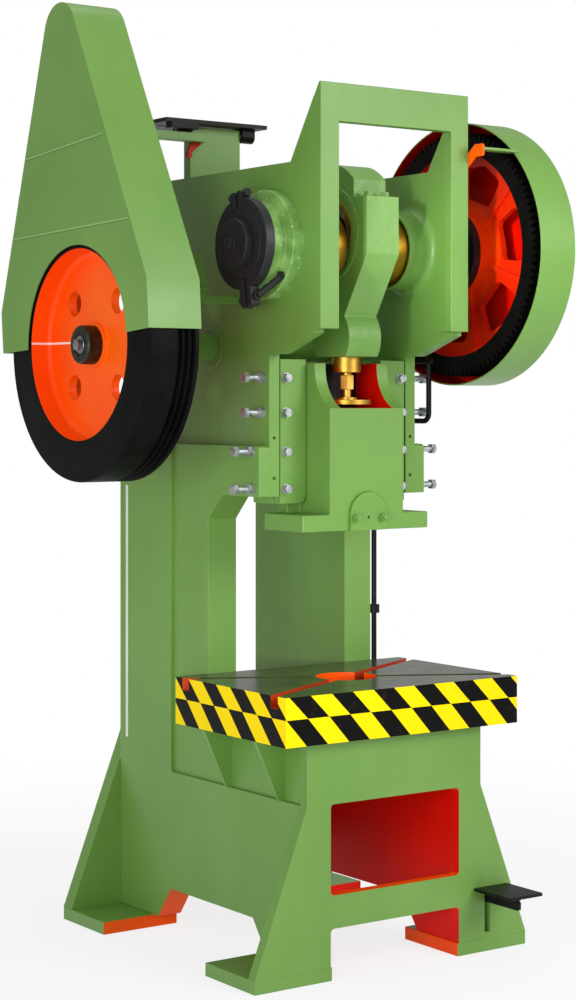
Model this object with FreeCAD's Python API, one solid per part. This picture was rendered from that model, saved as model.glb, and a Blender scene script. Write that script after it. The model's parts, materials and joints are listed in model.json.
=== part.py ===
import FreeCAD, Part
import math
import os

from FreeCAD import Vector

# Gap-frame power press. Lengths are in millimetres, angles in degrees.
# X runs from the flywheel side (-) to the bull gear side (+), Y from the operator (-) to the rear (+), and
# Z up from the floor. The slide's axis is at X = 0, Y = 0 while modelling; export moves the origin to the
# middle of the whole press on the floor. The slide is at the top of its stroke.

# ---- working space ----
STROKE = 80.0
SHUT_HEIGHT = 350.0
THROAT_DEPTH = 278.0
BED_SEAT_Z = 664.0
BOLSTER_T = 136.0
BOLSTER_WIDTH = 824.0
BOLSTER_FRONT_REACH = 278.0
BOLSTER_HOLE_R = 90.0
BOLSTER_SLOT_WIDTH = 30.0
BOLSTER_SLOT_DEPTH = 35.0
BOLSTER_SLOT_ANGLE = 28.5

# ---- side frames, each a stack of plates ----
FRAME_GAP = 400.0
INNER_PLATE_T = 29.0
MAIN_PLATE_T = 35.0
OUTER_PLATE_T = 36.0
CHEEK_PLATE_T = 10.0
THROAT_CORNER = 74.0
COLUMN_REAR_Y = 764.0
HEAD_REAR_Y = 551.0
LOWER_ARM_HEIGHT = 145.0
SHOULDER_DROP = 141.0
HEAD_TOP_RISE = 229.0
HEAD_SLOPE_Y = -90.0
HEAD_SLOPE_ANGLE = 57.0
CHEEK_FRONT_TOP_Z = 488.0
CHEEK_STRIP_WIDTH = 297.0
LEDGE_FILLET_R = 12.0

# ---- base ----
BASE_FRONT_REACH = 234.0
END_PLATE_T = 32.0
REAR_PLATE_T = 50.0
FOOT_HALF_SPREAD = 483.0
FOOT_PAD_T = 38.0
FOOT_PAD_LENGTH = 245.0
FOOT_PAD_INNER_X = 224.0
FLARE_TOP_Z = 488.0
REAR_PLATE_TOP_Z = 610.0
WINDOW_SILL_Z = 235.0
WINDOW_TOP_Z = 487.0
WINDOW_CORNER_R = 12.0
ARCH_TOP_Z = 143.0
SIDE_ARCH_TOP_Z = 134.0
SIDE_ARCH_FRONT_Y = 31.0
SIDE_ARCH_LENGTH = 436.0
SIDE_ARCH_SLOPE = 73.0
GUSSET_T = 12.0
GUSSET_TOP_X = 400.0
GUSSET_FOOT_X = 318.0
GUSSET_HEIGHT = 176.0
GUSSET_YS = (-107.0, 155.0)

# ---- head ----
NOSE_RISE = 67.0
NOSE_LEVEL_LENGTH = 54.0
FRONT_FRAME_RISE = 439.0
FRONT_BEAM_HEIGHT = 107.0
GIB_PLANE_Y = 14.0
GIB_LENGTH = 414.0
GIB_ABOVE_FLANGE = 29.0
GIB_OVERHANG = 21.0
NOSE_ABOVE_GIB = 13.0
GIB_COVER_INNER_X = 135.0
GIB_CORNER_R = 25.0
GIB_FIT = 0.3
DOWEL_R = 5.0
DOWEL_DEPTH = 15.0
DOWEL_RISES = (74.0, 189.0)
TIE_T = 22.0
TIE_HEIGHT = 190.0
LINER_T = 6.0

# ---- slide ----
SLIDE_HALF_WIDTH = 132.0
SLIDE_HALF_DEPTH = 98.0
SLIDE_HEIGHT = 479.0
SLIDE_FLANGE_HALF_WIDTH = 226.0
SLIDE_FLANGE_T = 47.0
SLIDE_SOLID_HEIGHT = 350.0
SLIDE_POCKET_HALF_WIDTH = 92.0
SLIDE_POCKET_BACK_Y = 76.0
SLIDE_CORNER_R = 8.0
SLIDE_SWEEP_R = 130.0
SLIDE_TOP_FRONT_Y = -24.0
WING_HALF_WIDTH = 176.0
WING_FRONT_Y = 50.0
CLAMP_R = 64.0
CLAMP_CENTRE_RISE = 45.0
CLAMP_PROUD = 9.0
CLAMP_STUD_X = 48.0
CLAMP_STUD_RISE = 37.0
CLAMP_SCREW_R = 4.5
SHANK_BORE_R = 25.0
SHANK_BORE_DEPTH = 90.0

# ---- ball screw and connecting rod ----
BALL_CLEARANCE = 1.5
BALL_DISC_R = 71.0
BALL_DISC_T = 14.0
DISC_STEP_R = 30.0
DISC_STEP_T = 7.0
NECK_R = 13.0
NECK_LENGTH = 30.0
HEX_ACROSS = 38.0
HEX_HEIGHT = 41.0
TOP_NECK_R = 15.0
TOP_NECK_LENGTH = 8.0
LOCK_RING_R = 42.0
LOCK_RING_T = 45.0
ROD_LENGTH = 354.0
ROD_HALF_WIDTH = 58.0
ROD_BULB_R = 90.0
ROD_BULB_FLAT = 54.0
ROD_SHOULDER_HALF = 173.0
ROD_SHOULDER_DROP = 64.0
ROD_WAIST_HALF = 66.0
ROD_WAIST_DROP = 238.0
ROD_CORNER_R = 14.0
CAP_LEDGE_RISE = 101.0
CAP_STEP_HALF = 111.0
CAP_STEP_RISE = 153.0
CAP_TOP_RISE = 201.0
CAP_BOLT_Y = 142.0
CAP_BOLT_X = 30.0
CAP_BOLT_ACROSS = 22.0
CAP_BOLT_HEAD_T = 11.0
RING_BOSS_R = 137.0
RING_BOSS_INNER_R = 120.0
RING_BOSS_PROUD = 5.0

# ---- crankshaft, its bearings and brake ----
JOURNAL_R = 80.0
CRANKPIN_R = 86.0
CRANKPIN_END_GAP = 1.0
CRANKPIN_BUSH_T = 12.0
CRANK_BUSH_T = 20.0
RUNNING_FIT = 0.05
CRANK_BUSH_INNER_X = 72.0
HOUSING_BORE_MOUTH_R = 107.0
HOUSING_INNER_X = 147.0
HOUSING_INNER_R = 113.0
HOUSING_FLARE_R = 24.0
HOUSING_EDGE_R = 5.0
HOUSING_FLANGE_R = 155.0
HOUSING_NECK_R = 120.0
HOUSING_LENGTH = 76.0
CRANK_NOSE_R = 55.0
BRAKE_GAP = 3.0
BRAKE_WIDTH = 30.0
BRAKE_DRUM_R = 100.0
BRAKE_SHOE_T = 30.0
BRAKE_FIT = 0.3
BRAKE_SPLIT = 12.0
BRAKE_SPLIT_ANGLE = 10.0
BRAKE_LUG_T = 22.0
BRAKE_LUG_CORNER_R = 10.0
BRAKE_TOP_LUG_REACH = 20.0
BRAKE_LOW_LUG_REACH = 52.0
BRAKE_BOLT_ACROSS = 22.0
BRAKE_BOLT_R = 7.0
END_PLATE_R = 70.0
END_PLATE_PROUD = 28.0
END_CENTRE_R = 9.0
ANCHOR_ROD_R = 10.0
ANCHOR_HEAD_R = 12.0
ANCHOR_ANGLE = 222.0

# ---- gears ----
MODULE = 7.0
DEDENDUM = 1.25 * MODULE
BULL_TEETH = 103
PINION_TEETH = 18
GEAR_WIDTH = 110.0
GEAR_INNER_X = 405.0
TOOTH_BACKLASH = 0.5
PRESSURE_ANGLE = 20.0
GEAR_RIM_INNER_R = 308.0
GEAR_WEB_T = 18.0
GEAR_WEB_RECESS = 34.0
GEAR_HUB_R = 118.0
GEAR_WINDOWS = 6
GEAR_WINDOW_HALF_ANGLE = 19.0
GEAR_WINDOW_INNER_R = 172.0
GEAR_WINDOW_OUTER_R = 262.0
GEAR_WINDOW_CORNER_R = 20.0
GEAR_RIB_T = 14.0
GEAR_RIB_BITE = 5.0
GEAR_SHAFT_R = 60.0
CLUTCH_R = 130.0
CLUTCH_T = 26.0
CLUTCH_GAP = 4.0
BACK_SHAFT_DROP = 282.0

# ---- back shaft and flywheel ----
BACK_SHAFT_R = 40.0
BACK_BUSH_T = 10.0
BACK_HOUSING_R = 66.0
BACK_HOUSING_INNER_X = 150.0
BACK_HOUSING_PROUD = 4.0
FLYWHEEL_R = 391.0
FLYWHEEL_WIDTH = 158.0
FLYWHEEL_INNER_X = 558.0
FLYWHEEL_RIM_INNER_R = 273.0
FLYWHEEL_WEB_RECESS = 60.0
FLYWHEEL_WEB_T = 26.0
FLYWHEEL_HUB_R = 64.0
FLYWHEEL_HUB_RECESS = 50.0
FLYWHEEL_FILLET_R = 16.0
FLYWHEEL_HUB_FILLET_R = 5.0
FLYWHEEL_RIM_TAPER = 6.0
FLYWHEEL_EDGE_R = 6.0
FLYWHEEL_HOLES = 4
FLYWHEEL_HOLE_R = 36.5
FLYWHEEL_HOLE_CIRCLE_R = 172.0
BELT_GROOVES = 3
BELT_GROOVE_TOP = 17.0
BELT_GROOVE_BOTTOM = 9.0
BELT_GROOVE_DEPTH = 13.0
BELT_GROOVE_PITCH = 20.0
COLLAR_R = 55.5
COLLAR_T = 42.0
END_BOLT_R = 22.0

# ---- guards ----
SHEET_T = 4.0
GUARD_CLEARANCE = 28.0
GUARD_CORNER_UP = 140.0
GUARD_TOP_R = 90.0
GUARD_RISE = 897.0
GUARD_LEAN = 4.7
GUARD_SETBACK = 19.0
GUARD_FRONT_FOOT_UP = 17.0
GUARD_REAR_FOOT_UP = -3.0
GUARD_OVERHANG = 8.0
GUARD_WINDOW_CLEARANCE = 10.0
GEAR_GUARD_CLEARANCE = 23.5
GEAR_GUARD_LIP = 3.0
GEAR_GUARD_END_GAP = 14.0
PINION_CLEARANCE = 14.0
STAY_T = 8.0
STAY_WIDTH = 36.0
STAY_CORNER_R = 6.0
STAY_ANGLE = 45.0
STAY_DROP = 108.0
SIDE_BRACKET_Y = 161.0
SIDE_BRACKET_Z = 1880.0
SIDE_BRACKET_T = 23.0
SIDE_BRACKET_RIGHT_X = -382.0
SIDE_BRACKET_PLATE = (90.0, 124.0)
SIDE_BRACKET_CORNER_R = 54.0
SIDE_BRACKET_LIP_RISE = 15.0

# ---- motor platform ----
PANEL_LEFT_X = -229.0
PANEL_RIGHT_X = -47.0
PANEL_Y = 486.0
PANEL_T = 12.0
PANEL_HEIGHT = 162.0
PANEL_FLANGE = 36.0
PLATFORM_T = 12.0
ANGLE_HEIGHT = 26.0
LUG_HEIGHT = 40.0
LUG_OVERHANG = 18.0
PLATFORM_GAP = 3.0
PLATFORM_LEFT_X = -345.0
PLATFORM_RIGHT_X = 20.0
PLATFORM_FRONT_Y = 436.0
PLATFORM_DEPTH = 300.0
HINGE_R = 20.0
HINGE_PIN_R = 9.0
HINGE_DROP = 21.0
PLATFORM_BLOCK_T = 17.0
PLATFORM_BLOCK_DEPTH = 34.0
HINGE_BARREL_LENGTH = 46.0
HINGE_FIT = 0.08
MOTOR_SLOT_X = (-290.0, -60.0)
MOTOR_SLOT_Y = (540.0, 680.0)
MOTOR_SLOT_WIDTH = 13.0
MOTOR_SLOT_LENGTH = 45.0

# ---- pedal and clutch linkage ----
PEDAL_Z = 190.0
PEDAL_WIDTH = 126.0
PEDAL_DEPTH = 160.0
PEDAL_FRONT_Y = -396.0
PEDAL_X = 345.0
PEDAL_T = 9.0
PEDAL_CORNER_R = 6.0
PEDAL_LEVER_SETBACK = 20.0
PEDAL_SADDLE_SETBACK = 27.0
LEVER_X = 336.0
LEVER_T = 10.0
LEVER_HEIGHT = 26.0
LEVER_Z = 157.0
LEVER_PIVOT_Y = 430.0
LEVER_PIN_R = 12.0
PEDAL_SLOT_WIDTH = 20.0
PEDAL_SLOT_FOOT_Z = 56.0
PEDAL_SLOT_TOP_Z = 172.0
PULL_ROD_R = 8.0
PULL_ROD_CLEARANCE = 4.0
PULL_ROD_EYE_R = 15.0
PULL_PIN_R = 5.0
PULL_PIN_SLACK = 1.2
PULL_PIN_END = 4.0
PULL_ROD_BEND_Z = 1540.0
PULL_ROD_HEAD_Y = 20.0
PULL_ROD_TOP_Z = 1712.0
PULL_ROD_BEND_R = 24.0
ROD_COLLAR_R = 17.0
ROD_COLLAR_T = 26.0
ROD_COLLAR_Z = 943.0
TRIP_LEVER_T = 14.0
TRIP_PIVOT_Y = 118.0
TRIP_GAP = 2.0
TRIP_HEIGHT = 30.0
TRIP_PIN_R = 10.0
TRIP_CORNER_R = 5.0

# ---- fasteners ----
EDGE_R = 3.0
GIB_BOLT_ACROSS = 22.0
GIB_BOLT_HEAD_T = 15.0
GIB_BOLT_R = 8.0
GIB_BOLT_RISES = (43.0, 150.0, 261.0, 361.0)
GIB_BOLT_X = 207.0
ADJUST_BOLT_R = 9.0
ADJUST_BOLT_Y = 50.0
ADJUST_BOLT_LENGTH = 52.0
ADJUST_BOLT_ACROSS = 27.0
ADJUST_NUT_T = 14.0
WASHER_R = 17.0
GIB_WASHER_R = 15.0
WASHER_T = 3.0
HEAD_T = 6.0
HEAD_LIP = 6.0
THREAD_END = 6.0

# ---- levels and positions that follow ----
TABLE_Z = BED_SEAT_Z + BOLSTER_T
SLIDE_FACE_Z = TABLE_Z + SHUT_HEIGHT + STROKE
SLIDE_TOP_Z = SLIDE_FACE_Z + SLIDE_HEIGHT
POCKET_FLOOR_Z = SLIDE_FACE_Z + SLIDE_SOLID_HEIGHT
CRANK_THROW = STROKE / 2
# The slide moves in step with the crank's angle, so an upright rod drifts this far up and down against it.
DRIFT_ANGLE = math.asin(2 / math.pi)
ROD_DRIFT = CRANK_THROW * (2 / math.pi * DRIFT_ANGLE - 1 + math.cos(DRIFT_ANGLE))
BALL_Z = POCKET_FLOOR_Z + ROD_DRIFT + BALL_CLEARANCE
NECK_Z = BALL_Z + BALL_DISC_T
HEX_Z = NECK_Z + NECK_LENGTH
TOP_NECK_Z = HEX_Z + HEX_HEIGHT
LOCK_RING_Z = TOP_NECK_Z + TOP_NECK_LENGTH
ROD_FOOT_Z = LOCK_RING_Z + LOCK_RING_T
CRANKPIN_Z = ROD_FOOT_Z + ROD_LENGTH
CRANK_Z = CRANKPIN_Z - CRANK_THROW

INNER_X = FRAME_GAP / 2
MAIN_X = INNER_X + INNER_PLATE_T
OUTER_X = MAIN_X + MAIN_PLATE_T
CHEEK_X = OUTER_X + OUTER_PLATE_T
FACE_X = CHEEK_X + CHEEK_PLATE_T
BASE_FRONT_Y = -BASE_FRONT_REACH
WALL_FRONT_Y = BASE_FRONT_Y + END_PLATE_T
BASE_REAR_Y = COLUMN_REAR_Y + REAR_PLATE_T

GIB_FOOT_Z = SLIDE_FACE_Z + SLIDE_FLANGE_T + GIB_ABOVE_FLANGE
GIB_TOP_Z = GIB_FOOT_Z + GIB_LENGTH
ARM_Z = GIB_FOOT_Z + GIB_OVERHANG
LEDGE_Z = ARM_Z + LOWER_ARM_HEIGHT
NOSE_Z = GIB_TOP_Z + NOSE_ABOVE_GIB
NOSE_TIP_Z = NOSE_Z + NOSE_RISE
NOSE_LEVEL_Y = GIB_PLANE_Y - NOSE_LEVEL_LENGTH
SHOULDER_Z = CRANK_Z - SHOULDER_DROP
HEAD_TOP_Z = CRANK_Z + HEAD_TOP_RISE
FRONT_TOP_Z = CRANK_Z + FRONT_FRAME_RISE
HEAD_SLOPE = math.tan(math.radians(HEAD_SLOPE_ANGLE))

GIB_BACK_Y = SLIDE_HALF_DEPTH + GIB_FIT
GIB_SPLIT_Y = WING_FRONT_Y - GIB_FIT
GIB_SIDE_X = WING_HALF_WIDTH + GIB_FIT

CRANK_BUSH_INNER_R = JOURNAL_R + RUNNING_FIT
CRANK_BUSH_R = CRANK_BUSH_INNER_R + CRANK_BUSH_T
HOUSING_END_X = OUTER_X + HOUSING_LENGTH
ROD_BUSH_INNER_R = CRANKPIN_R + RUNNING_FIT
ROD_BORE_R = ROD_BUSH_INNER_R + CRANKPIN_BUSH_T
BRAKE_INNER_X = HOUSING_END_X + BRAKE_GAP
BRAKE_OUTER_X = BRAKE_INNER_X + BRAKE_WIDTH
BRAKE_SHOE_R = BRAKE_DRUM_R + BRAKE_FIT
BRAKE_R = BRAKE_SHOE_R + BRAKE_SHOE_T

GEAR_OUTER_X = GEAR_INNER_X + GEAR_WIDTH
BULL_PITCH_R = MODULE * BULL_TEETH / 2
PINION_PITCH_R = MODULE * PINION_TEETH / 2
SHAFT_CENTRES = BULL_PITCH_R + PINION_PITCH_R
GEAR_GUARD_R = BULL_PITCH_R + MODULE + GEAR_GUARD_CLEARANCE + SHEET_T
BACK_SHAFT_Y = math.sqrt(SHAFT_CENTRES ** 2 - BACK_SHAFT_DROP ** 2)
BACK_SHAFT_Z = CRANK_Z - BACK_SHAFT_DROP
MESH_ANGLE = math.degrees(math.atan2(-BACK_SHAFT_DROP, BACK_SHAFT_Y))
CLUTCH_OUTER_X = GEAR_INNER_X - CLUTCH_GAP
CLUTCH_INNER_X = CLUTCH_OUTER_X - CLUTCH_T

FLYWHEEL_OUTER_X = FLYWHEEL_INNER_X + FLYWHEEL_WIDTH
HUB_OUTER_X = FLYWHEEL_OUTER_X - FLYWHEEL_HUB_RECESS
HUB_INNER_X = FLYWHEEL_INNER_X - FLYWHEEL_HUB_RECESS
WEB_OUTER_X = FLYWHEEL_OUTER_X - FLYWHEEL_WEB_RECESS
WEB_INNER_X = WEB_OUTER_X - FLYWHEEL_WEB_T
BACK_BUSH_R = BACK_SHAFT_R + RUNNING_FIT + BACK_BUSH_T

GUARD_OUTER_X = FLYWHEEL_OUTER_X + GUARD_OVERHANG
GUARD_INNER_X = FLYWHEEL_INNER_X - SHEET_T
GUARD_Y = BACK_SHAFT_Y + GUARD_SETBACK
GUARD_R = FLYWHEEL_R + GUARD_CLEARANCE
GUARD_WINDOW_R = FLYWHEEL_RIM_INNER_R + GUARD_WINDOW_CLEARANCE
GEAR_GUARD_INNER_X = GEAR_INNER_X - GEAR_GUARD_LIP
GEAR_GUARD_OUTER_X = GEAR_OUTER_X + GEAR_GUARD_END_GAP + SHEET_T

PLATFORM_Z = HEAD_TOP_Z + PANEL_HEIGHT + PLATFORM_GAP
HINGE_Y = PANEL_Y + PANEL_T / 2
HINGE_Z = PLATFORM_Z - HINGE_DROP

PULL_ROD_Y = THROAT_DEPTH + PULL_ROD_R + PULL_ROD_CLEARANCE
PULL_ROD_EYE_T = 2 * PULL_ROD_R
PULL_ROD_X = LEVER_X - LEVER_T / 2 - GIB_FIT - PULL_ROD_EYE_T / 2
TRIP_PIVOT_Z = PULL_ROD_TOP_Z + TRIP_GAP + TRIP_HEIGHT / 2


# ---- drawing helpers ----
# A cutting shape that ends on a face reaches this far past it.
OVERCUT = 1.0
SAME_POINT = 1e-6


def outline(place, corners):
    # Closed wire through corners (a, b) or (a, b, radius), with a tangent arc at each rounded corner.
    points = [place(corner[0], corner[1]) for corner in corners]
    stretches = []
    for index, corner in enumerate(corners):
        here = points[index]
        if len(corner) < 3:
            stretches.append((here, None, here))
            continue
        radius = corner[2]
        back = (points[index - 1] - here).normalize()
        ahead = (points[(index + 1) % len(points)] - here).normalize()
        half = back.getAngle(ahead) / 2
        reach = radius / math.tan(half)
        inward = (back + ahead).normalize()
        middle = here + inward * (radius / math.sin(half) - radius)
        stretches.append((here + back * reach, middle, here + ahead * reach))
    edges = []
    for index, (start, middle, end) in enumerate(stretches):
        if middle is not None:
            edges.append(Part.Arc(start, middle, end).toShape())
        following = stretches[(index + 1) % len(stretches)][0]
        if (following - end).Length > SAME_POINT:
            edges.append(Part.LineSegment(end, following).toShape())
    return Part.Wire(edges)


def along(axis, a, b, c):
    # Point with c along the named axis and a, b along the other two, in X, Y, Z order.
    return {"x": Vector(c, a, b), "y": Vector(a, c, b), "z": Vector(a, b, c)}[axis]


def prism(axis, start, end, corners):
    face = Part.Face(outline(lambda a, b: along(axis, a, b, start), corners))
    return face.extrude(along(axis, 0, 0, end - start))


def block(x0, x1, y0, y1, z0, z1):
    return Part.makeBox(x1 - x0, y1 - y0, z1 - z0, Vector(x0, y0, z0))


def round_bar(axis, start, end, a, b, radius):
    return Part.makeCylinder(radius, end - start, along(axis, a, b, start), along(axis, 0, 0, 1))


def tube(axis, start, end, a, b, radius, bore):
    return round_bar(axis, start, end, a, b, radius).cut(round_bar(axis, start, end, a, b, bore))


def turned(y, z, corners):
    # Solid of revolution about an X axis through y, z, from corners (x, radius).
    face = Part.Face(outline(lambda x, r: Vector(x, y, z + r), corners))
    return face.revolve(Vector(0, y, z), Vector(1, 0, 0), 360)


def hexagon(axis, start, end, a, b, across):
    reach = across / math.sqrt(3)
    corners = [
        (a + reach * math.cos(math.radians(60 * i)), b + reach * math.sin(math.radians(60 * i)))
        for i in range(6)
    ]
    return prism(axis, start, end, corners)


def mirrored(shape):
    return shape.mirror(Vector(0, 0, 0), Vector(1, 0, 0))


def joined(shapes):
    return shapes[0].fuse(shapes[1:]).removeSplitter()


# ---- side frames ----
def side_arch():
    # Opening under a side wall, between the two foot pads.
    foot_z = FOOT_PAD_T - OVERCUT
    rear_y = SIDE_ARCH_FRONT_Y + SIDE_ARCH_LENGTH
    return [
        (SIDE_ARCH_FRONT_Y - SIDE_ARCH_SLOPE, foot_z),
        (rear_y + SIDE_ARCH_SLOPE, foot_z),
        (rear_y, SIDE_ARCH_TOP_Z),
        (SIDE_ARCH_FRONT_Y, SIDE_ARCH_TOP_Z),
    ]


def without_arch(shape, x0, x1):
    return shape.cut(prism("x", x0 - OVERCUT, x1 + OVERCUT, side_arch()))


def head_slope_z(y):
    return HEAD_TOP_Z + (HEAD_SLOPE_Y - y) * HEAD_SLOPE


def nose_z(y):
    # Underside of the nose, rising from the level stretch to the front frame.
    share = (NOSE_LEVEL_Y - y) / (NOSE_LEVEL_Y - BASE_FRONT_Y)
    return NOSE_Z + NOSE_RISE * share


def main_plate():
    corners = [
        (WALL_FRONT_Y, FOOT_PAD_T),
        (COLUMN_REAR_Y, FOOT_PAD_T),
        (COLUMN_REAR_Y, LEDGE_Z),
        (HEAD_REAR_Y, SHOULDER_Z),
        (HEAD_REAR_Y, HEAD_TOP_Z),
        (HEAD_SLOPE_Y, HEAD_TOP_Z),
        (WALL_FRONT_Y, head_slope_z(WALL_FRONT_Y)),
        (WALL_FRONT_Y, nose_z(WALL_FRONT_Y)),
        (NOSE_LEVEL_Y, NOSE_Z),
        (GIB_PLANE_Y, NOSE_Z),
        (GIB_PLANE_Y, ARM_Z),
        (THROAT_DEPTH - THROAT_CORNER, ARM_Z),
        (THROAT_DEPTH, ARM_Z - THROAT_CORNER),
        (THROAT_DEPTH, BED_SEAT_Z),
        (WALL_FRONT_Y, BED_SEAT_Z),
    ]
    plate = without_arch(prism("x", MAIN_X, OUTER_X, corners), MAIN_X, OUTER_X)
    plate = plate.cut(round_bar("x", MAIN_X, OUTER_X, 0, CRANK_Z, HOUSING_INNER_R))
    plate = plate.cut(round_bar("x", MAIN_X, OUTER_X, BACK_SHAFT_Y, BACK_SHAFT_Z, BACK_HOUSING_R))
    middle_x = (MAIN_X + OUTER_X) / 2
    end_y = GIB_PLANE_Y + DOWEL_DEPTH
    dowels = []
    for rise in DOWEL_RISES:
        dowels.append(round_bar("y", GIB_PLANE_Y, end_y, middle_x, GIB_FOOT_Z + rise, DOWEL_R))
    return plate.cut(dowels)


def outer_plate():
    corners = [
        (WALL_FRONT_Y, FOOT_PAD_T),
        (COLUMN_REAR_Y, FOOT_PAD_T),
        (COLUMN_REAR_Y, LEDGE_Z),
        (GIB_PLANE_Y, LEDGE_Z, LEDGE_FILLET_R),
        (GIB_PLANE_Y, ARM_Z),
        (THROAT_DEPTH - THROAT_CORNER, ARM_Z),
        (THROAT_DEPTH, ARM_Z - THROAT_CORNER),
        (THROAT_DEPTH, BED_SEAT_Z),
        (WALL_FRONT_Y, BED_SEAT_Z),
    ]
    return without_arch(prism("x", OUTER_X, CHEEK_X, corners), OUTER_X, CHEEK_X)


def inner_plate():
    corners = [
        (THROAT_DEPTH, BED_SEAT_Z),
        (COLUMN_REAR_Y, BED_SEAT_Z),
        (COLUMN_REAR_Y, ARM_Z),
        (THROAT_DEPTH - THROAT_CORNER, ARM_Z),
        (THROAT_DEPTH, ARM_Z - THROAT_CORNER),
    ]
    return prism("x", INNER_X, MAIN_X, corners)


def cheek_plate():
    strip_y = COLUMN_REAR_Y - CHEEK_STRIP_WIDTH
    corners = [
        (WALL_FRONT_Y, FOOT_PAD_T),
        (COLUMN_REAR_Y, FOOT_PAD_T),
        (COLUMN_REAR_Y, LEDGE_Z),
        (strip_y, LEDGE_Z),
        (strip_y, CHEEK_FRONT_TOP_Z, LEDGE_FILLET_R),
        (WALL_FRONT_Y, CHEEK_FRONT_TOP_Z),
    ]
    return without_arch(prism("x", CHEEK_X, FACE_X, corners), CHEEK_X, FACE_X)


# ---- base ----
def leg_arch():
    return [
        (-MAIN_X, FOOT_PAD_T - OVERCUT),
        (MAIN_X, FOOT_PAD_T - OVERCUT),
        (MAIN_X, ARCH_TOP_Z, WINDOW_CORNER_R),
        (-MAIN_X, ARCH_TOP_Z, WINDOW_CORNER_R),
    ]


def base_front_plate():
    window = [
        (-MAIN_X, WINDOW_SILL_Z, WINDOW_CORNER_R),
        (MAIN_X, WINDOW_SILL_Z, WINDOW_CORNER_R),
        (MAIN_X, WINDOW_TOP_Z, WINDOW_CORNER_R),
        (-MAIN_X, WINDOW_TOP_Z, WINDOW_CORNER_R),
    ]
    corners = [
        (-FOOT_HALF_SPREAD, FOOT_PAD_T),
        (FOOT_HALF_SPREAD, FOOT_PAD_T),
        (FACE_X, FLARE_TOP_Z),
        (FACE_X, BED_SEAT_Z),
        (-FACE_X, BED_SEAT_Z),
        (-FACE_X, FLARE_TOP_Z),
    ]
    plate = prism("y", BASE_FRONT_Y, WALL_FRONT_Y, corners)
    half = PEDAL_SLOT_WIDTH / 2
    slot = [
        (LEVER_X - half, PEDAL_SLOT_FOOT_Z),
        (LEVER_X + half, PEDAL_SLOT_FOOT_Z),
        (LEVER_X + half, PEDAL_SLOT_TOP_Z),
        (LEVER_X - half, PEDAL_SLOT_TOP_Z),
    ]
    return plate.cut([prism("y", BASE_FRONT_Y, WALL_FRONT_Y, cut) for cut in (window, leg_arch(), slot)])


def base_back_plate():
    # The flare runs straight up to the side frames and ends level with them.
    corners = [
        (-FOOT_HALF_SPREAD, FOOT_PAD_T),
        (FOOT_HALF_SPREAD, FOOT_PAD_T),
        (OUTER_X, REAR_PLATE_TOP_Z),
        (-OUTER_X, REAR_PLATE_TOP_Z),
    ]
    plate = prism("y", COLUMN_REAR_Y, BASE_REAR_Y, corners)
    return plate.cut(prism("y", COLUMN_REAR_Y, BASE_REAR_Y, leg_arch()))


def foot_pads():
    pads = []
    for y in (BASE_FRONT_Y, BASE_REAR_Y - FOOT_PAD_LENGTH):
        pad = block(FOOT_PAD_INNER_X, FOOT_HALF_SPREAD, y, y + FOOT_PAD_LENGTH, 0, FOOT_PAD_T)
        pads += [pad, mirrored(pad)]
    return Part.makeCompound(pads)


def bed_gussets():
    foot_z = BED_SEAT_Z - GUSSET_HEIGHT
    corners = [(CHEEK_X, foot_z), (GUSSET_FOOT_X, foot_z), (GUSSET_TOP_X, BED_SEAT_Z), (CHEEK_X, BED_SEAT_Z)]
    ribs = []
    for y in GUSSET_YS:
        rib = prism("y", y - GUSSET_T / 2, y + GUSSET_T / 2, corners)
        ribs += [rib, mirrored(rib)]
    return Part.makeCompound(ribs)


def bolster():
    half = BOLSTER_WIDTH / 2
    plate = block(-half, half, -BOLSTER_FRONT_REACH, THROAT_DEPTH, BED_SEAT_Z, TABLE_Z)
    plate = plate.cut(round_bar("z", BED_SEAT_Z, TABLE_Z, 0, 0, BOLSTER_HOLE_R))
    reach = BOLSTER_WIDTH
    width = BOLSTER_SLOT_WIDTH / 2
    groove = block(-reach, reach, -width, width, TABLE_Z - BOLSTER_SLOT_DEPTH, TABLE_Z + OVERCUT)
    for angle in (BOLSTER_SLOT_ANGLE, -BOLSTER_SLOT_ANGLE):
        turned_groove = groove.copy()
        turned_groove.rotate(Vector(0, 0, 0), Vector(0, 0, 1), angle)
        plate = plate.cut(turned_groove)
    return plate


# ---- head ----
def head_front_frame():
    opening_top = FRONT_TOP_Z - FRONT_BEAM_HEIGHT
    corners = [
        (-OUTER_X, NOSE_TIP_Z),
        (-INNER_X, NOSE_TIP_Z),
        (-INNER_X, opening_top),
        (INNER_X, opening_top),
        (INNER_X, NOSE_TIP_Z),
        (OUTER_X, NOSE_TIP_Z),
        (OUTER_X, FRONT_TOP_Z),
        (-OUTER_X, FRONT_TOP_Z),
    ]
    frame = prism("y", BASE_FRONT_Y, WALL_FRONT_Y, corners)
    top_y = HEAD_SLOPE_Y - (FRONT_TOP_Z - HEAD_TOP_Z) / HEAD_SLOPE
    bevel = [(top_y, FRONT_TOP_Z), (WALL_FRONT_Y, head_slope_z(WALL_FRONT_Y)), (WALL_FRONT_Y, FRONT_TOP_Z)]
    return frame.cut(prism("x", -OUTER_X, OUTER_X, bevel)) if top_y < WALL_FRONT_Y else frame


def head_ties():
    # Plates between the two side frames at the rear of the head: one on edge, one flat under the panel.
    rear_y = HEAD_REAR_Y
    upright = block(-MAIN_X, MAIN_X, rear_y - TIE_T, rear_y, SHOULDER_Z, SHOULDER_Z + TIE_HEIGHT)
    flat = block(-MAIN_X, MAIN_X, PANEL_Y - TIE_T, rear_y - TIE_T, HEAD_TOP_Z - TIE_T, HEAD_TOP_Z)
    # Thin liners on the insides of the side frames, behind the front frame.
    liner_rear_y = -HOUSING_INNER_R - HOUSING_FLARE_R - LINER_T
    liner = block(MAIN_X - LINER_T, MAIN_X, WALL_FRONT_Y, liner_rear_y, NOSE_TIP_Z, HEAD_TOP_Z)
    return Part.makeCompound([upright, flat, liner, mirrored(liner)])


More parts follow.
